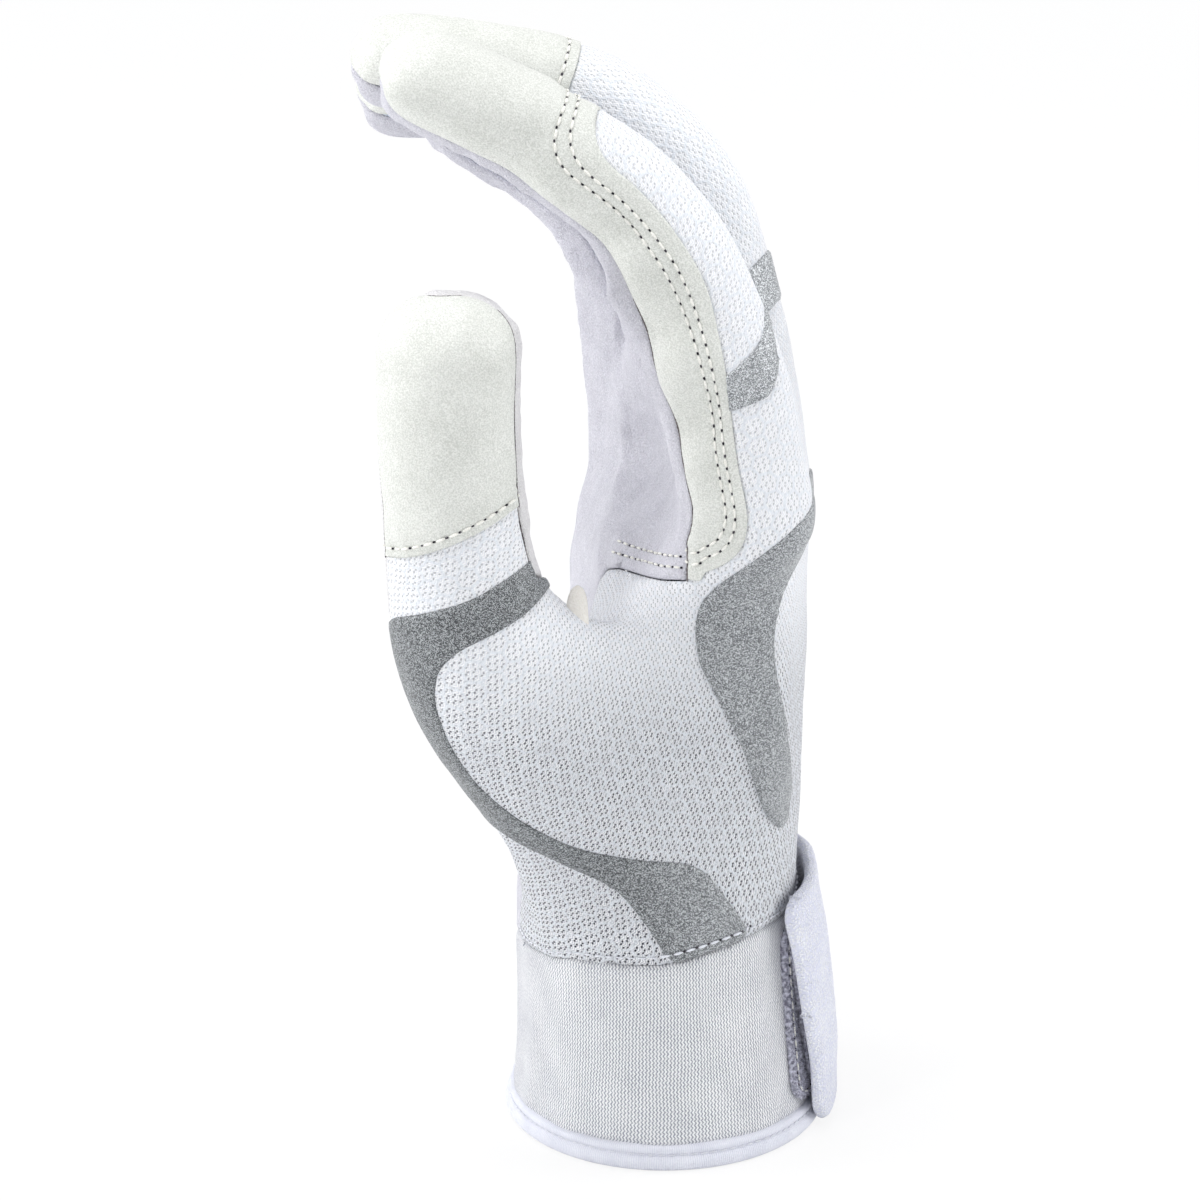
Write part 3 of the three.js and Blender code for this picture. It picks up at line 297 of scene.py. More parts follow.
def build_finger(f, crotch_ring, webs):
    length = lengths[f]
    on_back = [crotch_ring[2 * f + i] for i in range(3)]
    on_palm = [crotch_ring[18 - 2 * f - i] for i in (2, 1, 0)]
    ring = [*on_back, webs[f + 1], *on_palm, webs[f]]
    end_deep = lines[f](length)["deep"]
    count = int(math.floor((length - crotch_height) / finger_ring_step + 0.5))
    runs = [crotch_height + (length - end_deep * tip_start_share - crotch_height) * (i + 1) / count
            for i in range(count)] + [length - end_deep * tip_end_share]
    for run in runs:
        at = lines[f](run)
        round_share = tip_round_share if run == runs[-1] else 1
        quarter = (at["wide"] + at["deep"]) * math.pi / 4
        taper = float(smoothstep(length - run, gusset_taper / 4, gusset_taper))
        after = []
        for corner in range(8):
            turn = (corner - 1) * math.pi / 4
            side = (0 if corner in (1, 5) else 1 if corner in (2, 3, 4) else -1)
            place = at["middle"] + at["back"] * math.cos(turn) * at["deep"] * round_share
            place[Y] += math.sin(turn) * at["wide"] * round_share
            outer = (side < 0 and f == 0) or (side > 0 and f == 3)
            shift = 0
            if f == 0 and side < 0:
                shift = side_seam_shift * along(side_seam_shift_shares, run / length)
            roll_share = (0.5, 1, 0.5, 0, -0.5, -1, -0.5, 0)[corner]
            gusset = gusset_half_width * taper if side and not outer else 0
            after.append(add_point(place, roll_share * quarter + shift,
                                   side * quarter * abs(math.sin(turn)), length - run, gusset))
        for corner in range(8):
            add_quad(finger_names[f], ring[corner], ring[(corner + 1) % 8],
                     after[(corner + 1) % 8], after[corner])
        ring = after
    tip = add_point(lines[f](length)["middle"], 0, 0, 0)
    for corner in (1, 3, 5, 7):
        add_quad(finger_names[f], ring[corner], ring[(corner + 1) % 8], ring[(corner + 2) % 8], tip)


def build_thumb(rings):
    across = (0, 19, 18, 17, 16)
    inner = thumb_first_section + 1
    ring = [rings[thumb_last_section][column] for column in across] + [rings[inner][16]]
    ring += [rings[thumb_first_section][column] for column in reversed(across)] + [rings[inner][0]]
    corners = len(ring)
    blended.extend(ring)
    for x, y, z, wide, deep, tilt in thumb_rings:
        tilt, after = math.radians(tilt), []
        for corner in range(corners):
            turn = math.pi / 4 + (corner - 2) * 2 * math.pi / corners
            out = math.cos(turn) * wide * thumb_width
            place = (x * mouth_depth + out * math.cos(tilt),
                     y * palm_width + math.sin(turn) * deep * thumb_depth,
                     z * fork_height + out * math.sin(tilt))
            roll = -math.asin(math.sin(turn)) * (wide * thumb_width + deep * thumb_depth) / 2
            after.append(add_point(place, roll, out, thumb_tip_height - place[Z]))
        for corner in range(corners):
            add_quad("thumb", ring[corner], ring[(corner + 1) % corners],
                     after[(corner + 1) % corners], after[corner])
        ring = after
        if len(blended) < 2 * corners:
            blended.extend(ring)
    end = thumb_rings[-1]
    tip = add_point((end[X] * mouth_depth, end[Y] * palm_width, thumb_tip_height), 0, 0, 0)
    for corner in range(0, corners, 2):
        add_quad("thumb", ring[corner], ring[corner + 1], ring[(corner + 2) % corners], tip)


def edges_of(quads):
    """Each edge once, the edges of each quad, how many quads meet at each edge, and the rim's."""
    ends = np.sort(np.stack([quads, np.roll(quads, -1, 1)], -1).reshape(-1, 2), 1)
    edges, of = np.unique(ends, axis=0, return_inverse=True)
    sides = np.bincount(of.ravel())
    return edges, of.reshape(-1, 4), sides, edges[sides == 1]


def gathered(count, targets, values):
    total = np.zeros((count, values.shape[1]))
    np.add.at(total, targets, values)
    return total


def limit_points(points, quads):
    """Where the smooth surface passes, for each point of its cage (Catmull-Clark limit points)."""
    edges, _, _, rim = edges_of(quads)
    count = len(points)
    n = np.bincount(edges.ravel(), minlength=count)[:, None]
    near = gathered(count, edges.ravel(), points[edges[:, ::-1].ravel()])
    far = gathered(count, quads.ravel(), points[np.roll(quads, -2, 1).ravel()])
    limits = (n * n * points + 4 * near + far) / (n * (n + 5))
    on_rim = np.unique(rim)
    rim_near = gathered(count, rim.ravel(), points[rim[:, ::-1].ravel()])
    limits[on_rim] = (4 * points[on_rim] + rim_near[on_rim]) / 6
    return limits


def refine(points, quads, regions):
    """One Catmull-Clark step: every quad becomes four."""
    edges, of, sides, rim = edges_of(quads)
    count = len(points)
    middles = points[quads].mean(1)
    n = np.bincount(edges.ravel(), minlength=count)[:, None]
    near = gathered(count, edges.ravel(), points[edges[:, ::-1].ravel()])
    faces = gathered(count, quads.ravel(), np.repeat(middles, 4, 0))
    corners = (n - 2) / n * points + (near + faces) / (n * n)
    on_rim = np.unique(rim)
    rim_near = gathered(count, rim.ravel(), points[rim[:, ::-1].ravel()])
    corners[on_rim] = (6 * points[on_rim] + rim_near[on_rim]) / 8
    edge_middles = points[edges].mean(1)
    across = gathered(len(edges), of.ravel(), np.repeat(middles, 4, 0)) / sides[:, None]
    halfway = np.where(sides[:, None] == 2, (edge_middles + across) / 2, edge_middles)
    first_edge = count + len(quads)
    centre = np.arange(count, first_edge)
    finer = [np.stack([quads[:, i], first_edge + of[:, i], centre, first_edge + of[:, i - 1]], 1)
             for i in range(4)]
    return np.vstack([corners, middles, halfway]), np.stack(finer, 1).reshape(-1, 4), np.repeat(regions, 4)


rings = build_hand()
webs = build_webs(rings[-1])
for f in range(4):
    build_finger(f, rings[-1], webs)
build_thumb(rings)
cage_points, cage_quads, cage_regions = np.array(cage, float), np.array(cage_quads), np.array(cage_regions)
cage_edges = edges_of(cage_quads)[0]
for _ in range(blend_passes):
    n = np.bincount(cage_edges.ravel(), minlength=len(cage_points))[:, None]
    even = gathered(len(cage_points), cage_edges.ravel(), cage_points[cage_edges[:, ::-1].ravel()]) / n
    cage_points[blended, :3] += (even[blended, :3] - cage_points[blended, :3]) * blend_share
targets = cage_points[:, :3].copy()
for _ in range(fit_passes):
    cage_points[:, :3] += targets - limit_points(cage_points, cage_quads)[:, :3]
hand_levels = [(cage_points, cage_quads, cage_regions)]
for _ in range(fine_level):
    hand_levels.append(refine(*hand_levels[-1]))

# The palm hide. One thin goatskin panel covers the palm and the inner side of all four fingers, and
# a second one lines the thumb. Both are clicked out of a hide, sewn along the sides of the fingers,
# and hemmed with two rows of stitches above the web of the thumb.
seam_gap = 0.3
cuff_seam_share, cuff_seam_slope = 0.385, 0.22
cuff_seam_drawn_up = (-27, 2.9), (-17, 3.4), (-11, 2.3), (0, 0), (15, -0.3), (22, -1.5)
cuff_seam_front_blend = 8
leather_thickness = 1
thumb_leather_length = 62
snap_share = 0.03
seam_wander, seam_wander_size = 0.7, 13
thumb_shift_heights = (100, 122, 146, 153, 163, 172)
thumb_shifts = (0, 3, 3.4, 3.8, 3.8, 2.4), (0, 4.8, 4.8, 4.4, 3.4, 1.2)
thumb_shift_blend = 5
strip_heights, strip_turns = (109, 121, 131, 161, 171, 181), (0, 3, 5.2, 5, 4, 3)
strip_front_tips, strip_front_shares = (22, 36), (0.25, -0.6)
hem_left, hem_right, hem_top = (-20.3, 96.5), (3.6, 95.6), 113
hem_left_slope, hem_fade_start, hem_fade = 0.38, 2, 6
web_low, web_depth, web_sides = 85.5, -5, (-24, 8)
turned_away = (-0.4, -0.2)
hem_line = (-20, 96.4), (-13.6, 96.9), (-12, 97.9), (-9, 98.3), (-5.2, 97.2), (-0.9, 96), (3.6, 95.6)
low_corner, high_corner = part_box("hem_binding")
middle = np.array([(low_corner[X] + high_corner[X]) / 2, (low_corner[Y] + high_corner[Y]) / 2, 0])


def normals_of(points, triangles):
    a, b, c = (points[triangles[:, i]] for i in range(3))
    total = gathered(len(points), triangles.ravel(), np.repeat(np.cross(b - a, c - a), 3, 0))
    return total / np.maximum(np.linalg.norm(total, axis=1, keepdims=True), 1e-12)


def sight_height(p):
    """How high a point looks from the camera's side."""
    return p[..., Z] * math.cos(camera_elevation) + p[..., Y] * math.sin(camera_elevation)


def strip_turn(p):
    """How much further round towards the palm the seam of the index finger runs."""
    return np.interp(sight_height(p), strip_heights, strip_turns) * smoothstep(-p[..., ACROSS], 0, 8)


def above_hem(p):
    return sight_height(p) - np.interp(p[..., X], *zip(*hem_line))


def hemmed(p, roll):
    """Lets the palm hide reach over the web of the thumb, down to its hem, and the knit up to there."""
    height, above = sight_height(p), above_hem(p)
    left = hem_left[0] - hem_left_slope * (height - hem_left[1]) - p[..., X]
    outside = np.maximum(np.maximum(-above, p[..., X] - hem_right[0]), np.maximum(left, height - hem_top))
    roll = np.minimum(roll, outside + hem_fade * np.maximum(outside - hem_fade_start, 0))
    sides = np.minimum(p[..., X] - web_sides[0], web_sides[1] - p[..., X])
    below = np.minimum(np.minimum(-above, height - web_low), np.minimum(sides, web_depth - p[..., Y]))
    return np.maximum(roll, below)


def skin_of(level):
    """The smooth skin as a sheet: points with their channels, triangles, and a region for each."""
    points, quads, regions = hand_levels[level]
    points = limit_points(points, quads)
    a, b, c, d = quads.T
    short = np.linalg.norm(points[a, :3] - points[c, :3], axis=1) < np.linalg.norm(
        points[b, :3] - points[d, :3], axis=1)
    one = np.where(short[:, None], np.stack([a, b, c], 1), np.stack([a, b, d], 1))
    two = np.where(short[:, None], np.stack([a, c, d], 1), np.stack([b, c, d], 1))
    triangles = np.stack([one, two], 1).reshape(-1, 3)
    normals = normals_of(points[:, :3], triangles)
    of_thumb = np.isin(np.arange(len(points)), quads[regions == region_names.index("thumb")])
    left, right = (np.interp(points[:, Z], thumb_shift_heights, shifts) for shifts in thumb_shifts)
    to_right = smoothstep(points[:, ACROSS], -thumb_shift_blend, thumb_shift_blend)
    thumb_shift = of_thumb * (left + (right - left) * to_right)
    points[:, ROLL] += seam_wander * noise_at(points, seam_wander_size, 21) - thumb_shift + strip_turn(points)
    facing = smoothstep(-normals[:, Y], *turned_away)
    points[:, ROLL] += facing * (hemmed(points, points[:, ROLL]) - points[:, ROLL])
    return np.hstack([points, normals, np.full((len(points), 1), 99.0)]), triangles, np.repeat(regions, 2)


def keep(sheet, field):
    """Keeps the side where the field is above zero, and notes how far each point is from the cut."""
    points, triangles, regions = sheet
    values = field(points[triangles], regions[:, None])
    inside = values > 0
    whole = inside.all(1)
    mixed = inside.any(1) & ~whole
    points = points.copy()
    near = inside & (whole | mixed)[:, None]
    np.minimum.at(points[:, EDGE], triangles[near], values[near])
    made, new_points, new_triangles, new_regions = {}, [], [], []

    def crossing(a, b, value_a, value_b):
        share = value_a / (value_a - value_b)
        if share < snap_share:
            return a
        if share > 1 - snap_share:
            return b
        key = (min(a, b), max(a, b))
        if key not in made:
            point = points[a] + (points[b] - points[a]) * share
            point[EDGE] = 0
            made[key] = len(points) + len(new_points)
            new_points.append(point)
        return made[key]

    for triangle, value, region in zip(triangles[mixed].tolist(), values[mixed].tolist(), regions[mixed]):
        polygon = []
        for i in range(3):
            j = (i + 1) % 3
            if value[i] > 0:
                polygon.append(triangle[i])
            if (value[i] > 0) != (value[j] > 0):
                polygon.append(crossing(triangle[i], triangle[j], value[i], value[j]))
        polygon = [v for i, v in enumerate(polygon) if v != polygon[(i + 1) % len(polygon)]]
        for i in range(1, len(polygon) - 1):
            new_triangles.append((polygon[0], polygon[i], polygon[i + 1]))
            new_regions.append(region)
    triangles, regions = triangles[whole], regions[whole]
    if new_triangles:
        triangles = np.vstack([triangles, new_triangles])
        regions = np.concatenate([regions, new_regions])
    return np.vstack([points, new_points]) if new_points else points, triangles, regions


def region_of(sheet, *names):
    points, triangles, regions = sheet
    chosen = np.isin(regions, [region_names.index(name) for name in names])
    return points, triangles[chosen], regions[chosen]


def pieces_of(sheet):
    """The pieces of a sheet that hang together by their edges, the largest first."""
    points, triangles, regions = sheet
    ends = np.sort(triangles[:, [0, 1, 1, 2, 2, 0]].reshape(-1, 2), 1)
    _, edge = np.unique(ends[:, 0] * len(points) + ends[:, 1], return_inverse=True)
    edge = edge.reshape(-1, 3)
    label, settled_label = np.arange(len(triangles)), None
    while settled_label is None or (label != settled_label).any():
        settled_label = label
        lowest = np.full(edge.max() + 1, len(triangles))
        np.minimum.at(lowest, edge.ravel(), np.repeat(label, 3))
        label = lowest[edge].min(1)
        label = label[label]
    names, counts = np.unique(label, return_counts=True)
    return [(points, triangles[label == name], regions[label == name]) for name in names[np.argsort(-counts)]]


def compact(sheet):
    """The points that a sheet uses, and its triangles on them."""
    used, faces = np.unique(sheet[1], return_inverse=True)
    return sheet[0][used], faces.reshape(-1, 3)


def points_of(sheet):
    return compact(sheet)[0]


def shell(sheet, inside, outside, rise, rim, under_drop=0):
    """Gives a sheet its thickness, with the outer face lifted by rise. Rim says how wide a band of it
    rolls in towards the seam, and how deep."""
    points, faces = compact(sheet)
    rim_width, drop = rim
    turned_in = 1 - np.sqrt(1 - np.clip(1 - points[:, EDGE] / rim_width, 0, 1) ** 2)
    normals = points[:, NORMAL:NORMAL + 3]
    outer = points[:, :3] + normals * (outside + rise - drop * turned_in)[:, None]
    inner = points[:, :3] + normals * (inside + under_drop * turned_in + np.zeros(len(points)))[:, None]
    half = len(points)
    ends = faces[:, [0, 1, 1, 2, 2, 0]].reshape(-1, 2)
    start, end = ends[~np.isin(ends[:, 0] * half + ends[:, 1], ends[:, 1] * half + ends[:, 0])].T
    walls = np.vstack([np.stack([end, start, start + half], 1), np.stack([end, start + half, end + half], 1)])
    return {"points": points, "faces": faces, "regions": sheet[2], "outer": outer,
            "normals": normals_of(outer, faces),
            "solid": (np.vstack([outer, inner]), np.vstack([faces, faces[:, [0, 2, 1]] + half, walls]))}


def add_mesh(name, points, faces, cloth=None):
    """A smooth mesh in the frame's place. Cloth gives each face corner its place on the flat cloth."""
    mesh = bpy.data.meshes.new(name)
    mesh.from_pydata((points * mm + middle).tolist(), [], faces.tolist())
    mesh.polygons.foreach_set("use_smooth", [True] * len(faces))
    if cloth is not None:
        attribute = mesh.attributes.new("cloth", "FLOAT_VECTOR", "CORNER")
        flat = np.zeros((cloth.shape[0] * cloth.shape[1], 3))
        flat[:, :2] = cloth.reshape(-1, 2)
        attribute.data.foreach_set("vector", flat.ravel())
    piece = bpy.data.objects.new(name, mesh)
    scene.collection.objects.link(piece)
    return piece


def enter(piece, slot, body, *nodes):
    """Hangs a piece under its body's empty and hides the solids that it stands for. The slot is not used."""
    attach(piece, body)
    if nodes:
        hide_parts(*nodes)


def dress(piece, material, slot, body, *nodes):
    piece.data.materials.append(material)
    enter(piece, slot, body, *nodes)


def noise_at(points, size, seed=0):
    """Smooth noise from -1 to 1 at each point. Size is the width of a bump, one or one per axis."""
    places = points[:, :3] / size + seed * 17.3
    return np.array([noise.noise(Vector(place)) for place in places])


def waves(points, layers):
    """Layers of smooth noise together. Each has its rise, the width of a bump, and a seed."""
    return sum(rise * noise_at(points, size, seed) for rise, size, seed in layers)


def linear(red, green, blue):
    """A colour given as it looks on a screen, from 0 to 255, in the shader's own scale."""
    shares = [value / 255 for value in (red, green, blue)]
    return (*[s / 12.92 if s < 0.04045 else ((s + 0.055) / 1.055) ** 2.4 for s in shares], 1)


class Wire:
    """One socket of a node tree. Arithmetic on it adds Math nodes, and node() adds any other node."""

    def __init__(self, tree, socket=None):
        self.tree = tree
        self.socket = socket

    def node(self, kind, settings=None, inputs=None, output=0):
        made = self.tree.nodes.new(kind)
        for name, value in (settings or {}).items():
            setattr(made, name, value)
        for name, value in (inputs or {}).items():
            if isinstance(value, Wire):
                self.tree.links.new(value.socket, made.inputs[name])
            else:
                made.inputs[name].default_value = value
        return Wire(self.tree, made.outputs[output])

    def math(self, operation, *values):
        return self.node("ShaderNodeMath", {"operation": operation}, dict(enumerate(values)))

    def __add__(self, other):
        return self.math("ADD", self, other)

    def __sub__(self, other):
        return self.math("SUBTRACT", self, other)

    def __rsub__(self, other):
        return self.math("SUBTRACT", other, self)

    def __mul__(self, other):
        return self.math("MULTIPLY", self, other)

    def __truediv__(self, other):
        return self.math("DIVIDE", self, other)

    def __abs__(self):
        return self.math("ABSOLUTE", self)

    __radd__ = __add__
    __rmul__ = __mul__

    def step(self, low, high):
        """Rises smoothly from 0 at low to 1 at high, or falls where low is the higher."""
        return self.node("ShaderNodeMapRange", {"interpolation_type": "SMOOTHSTEP"},
                         {"Value": self, "From Min": low, "From Max": high})

    def mix(self, low, high):
        return self.node("ShaderNodeMix", {"data_type": "RGBA"}, {0: self, 6: low, 7: high}, 2)

    def vector(self, operation, *values, output=0):
        return self.node("ShaderNodeVectorMath", {"operation": operation}, dict(enumerate(values)), output)

    def scaled(self, sizes):
        return self.vector("MULTIPLY", self, sizes)

    def scaled_by(self, factor):
        return self.node("ShaderNodeVectorMath", {"operation": "SCALE"}, {0: self, "Scale": factor})

    def part(self, axis):
        return self.node("ShaderNodeSeparateXYZ", None, {0: self}, axis)

    def noise(self, size, detail=2, roughness=0.5):
        return self.node("ShaderNodeTexNoise", None,
                         {"Vector": self, "Scale": 1 / size, "Detail": detail, "Roughness": roughness})

    def cells(self, size, feature="F1"):
        return self.node("ShaderNodeTexVoronoi", {"feature": feature}, {"Vector": self, "Scale": 1 / size})

    def warped(self, size, reach, output=0):
        """The same places pushed about by soft noise."""
        drift = self.node("ShaderNodeTexNoise", None, {"Vector": self, "Scale": 1 / size}, output)
        return self.vector("MULTIPLY_ADD", drift, reach, self)

    def bump(self, height, strength=1):
        return self.node("ShaderNodeBump", None, {"Height": height, "Distance": mm, "Strength": strength})

    def place(self):
        return self.node("ShaderNodeTexCoord", output=3)

    def cloth(self):
        return self.node("ShaderNodeAttribute", {"attribute_name": "cloth"}, output=1)


def finish(name, paint, **fixed):
    """A material. Paint gets a wire of its tree and returns what feeds the shader's sockets."""
    material = bpy.data.materials.new(name)
    material.use_nodes = True
    tree = material.node_tree
    shader = tree.nodes["Principled BSDF"]
    for socket, value in fixed.items():
        shader.inputs[socket.replace("_", " ")].default_value = value
    for socket, wire in paint(Wire(tree)).items():
        tree.links.new(wire.socket, shader.inputs[socket])
    return material


def hide(light, dark, crinkle=1.0):
    """Fine grain and shallow crinkles of low contrast, as on thin glove leather."""
    def paint(start):
        place = start.place()
        warped = place.warped(2 * mm, (0.5 * mm,) * 3)
        pebbles = warped.cells(0.55 * mm, "DISTANCE_TO_EDGE").step(0, 0.3)
        fine = place.noise(0.3 * mm, 2, 0.6)
        crinkles = abs(warped.scaled((1, 1, 0.5)).noise(2 * mm, 2) - 0.5).step(0, 0.16)
        mottle = place.noise(9 * mm, 3)
        height = pebbles * 0.1 + fine * 0.2 + crinkles * (0.08 * crinkle)
        shade = fine.step(0.32, 0.7) * 0.5 + pebbles * 0.2 + mottle.step(0.25, 0.75) * 0.2
        # Painted shade: the colour is a little darker along the crinkles' lines.
        shade = shade + crinkles * (0.1 * crinkle)
        return {"Base Color": shade.mix(dark, light), "Roughness": 0.66 - mottle * 0.12,
                "Normal": start.bump(height, 0.9)}
    return paint


leather_rim, calm_edge = (1.2, 0.6), 4
palm_finish = finish("goatskin", hide(linear(232, 231, 238), linear(184, 183, 192)),
                     Specular_IOR_Level=0.35)
thumb_finish = finish("thumb_goatskin", hide(linear(244, 243, 242), linear(210, 208, 210)),
                      Specular_IOR_Level=0.35)
palm_wrinkles = (0.45, 13, 1), (0.4, (4, 4, 9), 2)
finger_wrinkles, finger_wrinkle_heights = (0.3, (2.4, 12, 2.4), 4), (112, 135)
fold_foot, fold_head = (-6, 4), (8, -4)
palm_folds = (  # x and height seen from the camera's side, then the fold's rise, and its width to each side
    (((-8, 150), (-7.6, 140), (-5.6, 127.5), (-5.4, 118), (-8.1, 106), (-11, 100)), 2.6, 6, 3.5),
    (((1, 150), (0.5, 141), (3, 131), (3.5, 121)), -1.2, 2.5, 2.5),
)


def cuff_line(p, region):
    in_front = smoothstep(-p[..., Y], -cuff_seam_front_blend, cuff_seam_front_blend)
    drawn_up = np.interp(p[..., X], *zip(*cuff_seam_drawn_up)) * in_front
    return p[..., Z] - cuff_seam_share * fork_height - cuff_seam_slope * p[..., X] - drawn_up


def thumb_leather_field(p, region):
    on_thumb = region == region_names.index("thumb")
    return np.where(on_thumb, thumb_leather_length - p[..., TIP], -thumb_leather_length)


skins = {level: skin_of(level) for level in (skin_level, fine_level)}
uppers = {level: keep(skin, lambda p, region: cuff_line(p, region) - seam_gap / 2)
          for level, skin in skins.items()}


def strip_front(p):
    """The strip between two fingers shows beside their tips and lies deep between them lower down."""
    return p[..., GUSSET] * np.interp(p[..., TIP], strip_front_tips, strip_front_shares)


def palm_side(level):
    return keep(uppers[level], lambda p, region: -p[..., ROLL] - strip_front(p) - seam_gap / 2)


def back_side(level):
    return keep(uppers[level], lambda p, region: p[..., ROLL] - p[..., GUSSET] - seam_gap / 2)


def palm_creases(p):
    """Wrinkles of worn leather: two long folds up the palm, and small ones across each finger."""
    rise, height = waves(p, palm_wrinkles), sight_height(p)
    for line, size, left, right in palm_folds:
        xs, heights = np.array(line)[::-1].T
        away = p[:, X] - np.interp(height, heights, xs)
        ends = smoothstep(height, *(heights[0] + reach for reach in fold_foot))
        ends = ends * smoothstep(height, *(heights[-1] + reach for reach in fold_head))
        rise += size * ends * np.exp(-np.abs(away / np.where(away < 0, left, right)))
    size, width, seed = finger_wrinkles
    return rise + size * smoothstep(p[:, Z], *finger_wrinkle_heights) * noise_at(p, width, seed)


def leather_panel(name, side, material, node):
    """One of the two leather panels: the palm hide has side -1, and the thumb's lining has side 1."""
    sheet = pieces_of(keep(palm_side(fine_level),
                           lambda p, region: side * thumb_leather_field(p, region) - seam_gap / 2))[0]
    p = points_of(sheet)
    rise = palm_creases(p) * smoothstep(p[:, EDGE], 0, calm_edge)
    panel = shell(sheet, -leather_thickness, 0, rise, leather_rim)
    dress(add_mesh(name, *panel["solid"]), material, "palm_leather", "glove", node)
    return panel


palm_panel = leather_panel("palm_hide", -1, palm_finish, "palm_leather")
leather_panel("thumb_hide", 1, thumb_finish, "thumb_leather")

# The knit back. One piece of white open mesh covers the back of the hand, the backs of the fingers
# and the ball of the thumb, with its columns of small holes running up the hand. It is stretched
# over the knuckles and caught under the edges of the panels round it.
knit_thickness, knit_rim = 1.2, (0.9, 0.5)
side_panel_width, side_panel_foot_share, side_panel_corner = 13, 1.16, 8
side_panel_width_shares = (1, 0.95, 0.7, 0.65, 0.65)
cap_share, cap_corner = 0.3, 9
thumb_cap_foot_share, thumb_cap_rise_per_width = 1.295, 0.44
hole_pitch, hole_rows, hole_radius, hole_twin, cell_size = 1.2, 1.8, 0.155, 0.25, 3.2
knit_waves, knit_wave_reach = ((0.35, 16, 5), (0.16, 6, 6)), 6


def cap_field(p, region):
    reach = cap_share * np.array([lengths[0], *lengths, lengths[0]])
    return reach[region] - p[..., TIP]


def thumb_cap_field(p, region):
    return (p[..., Z] - thumb_cap_foot_share * fork_height
            - thumb_cap_rise_per_width * (p[..., X] - thumb_rings[5][X] * mouth_depth))


def side_panel_field(p, region):
    width = side_panel_width * along(side_panel_width_shares, 1 - p[..., TIP] / lengths[0]) + strip_turn(p)
    over_foot = p[..., Z] - side_panel_foot_share * fork_height
    strip = smooth_min(width - p[..., ROLL], over_foot, side_panel_corner)
    cap = cap_share * lengths[0] - p[..., TIP]
    return -smooth_min(-np.minimum(strip, -p[..., ACROSS]), -cap, cap_corner)


def knit_field(p, region):
    on_index = np.isin(region, (0, 1))
    field = np.where(on_index, -side_panel_field(p, region), -cap_field(p, region))
    return np.where(region == region_names.index("thumb"), -thumb_cap_field(p, region), field)


def flattened(sheet, name):
    """Lays a sheet flat without tearing it: for each face corner its place on the cloth, in mm."""
    points, faces = compact(sheet)
    points = points[:, :3]
    pattern = bpy.data.objects.new(name, bpy.data.meshes.new(name))
    pattern.data.from_pydata(points.tolist(), [], faces.tolist())
    scene.collection.objects.link(pattern)
    bpy.context.view_layer.objects.active = pattern
    pattern.data.uv_layers.new()
    bpy.ops.object.mode_set(mode="EDIT")
    bpy.ops.mesh.select_all(action="SELECT")
    bpy.ops.uv.unwrap(method="ANGLE_BASED", margin=0)
    bpy.ops.object.mode_set(mode="OBJECT")
    flat = np.zeros(len(faces) * 6)
    pattern.data.uv_layers[0].data.foreach_get("uv", flat)
    flat = flat.reshape(-1, 3, 2)
    bpy.data.objects.remove(pattern)
    a, b = flat[:, 1] - flat[:, 0], flat[:, 2] - flat[:, 0]
    a3, b3 = points[faces[:, 1]] - points[faces[:, 0]], points[faces[:, 2]] - points[faces[:, 0]]
    flat_area = np.abs(a[:, 0] * b[:, 1] - a[:, 1] * b[:, 0]).sum()
    scale = math.sqrt(np.linalg.norm(np.cross(a3, b3), axis=1).sum() / flat_area)
    up = (a * a3[:, 2:] + b * b3[:, 2:]).sum(0)
    up /= np.linalg.norm(up)
    return np.stack([flat @ (up[1], -up[0]), flat @ up], -1) * scale


def doubled(cloth, panel):
    """The inner face and the rim take the outer face's places on the cloth."""
    places = np.zeros((len(panel["points"]), 2))
    places[panel["faces"]] = cloth
    count = len(panel["points"])
    return places[panel["solid"][1] % count]


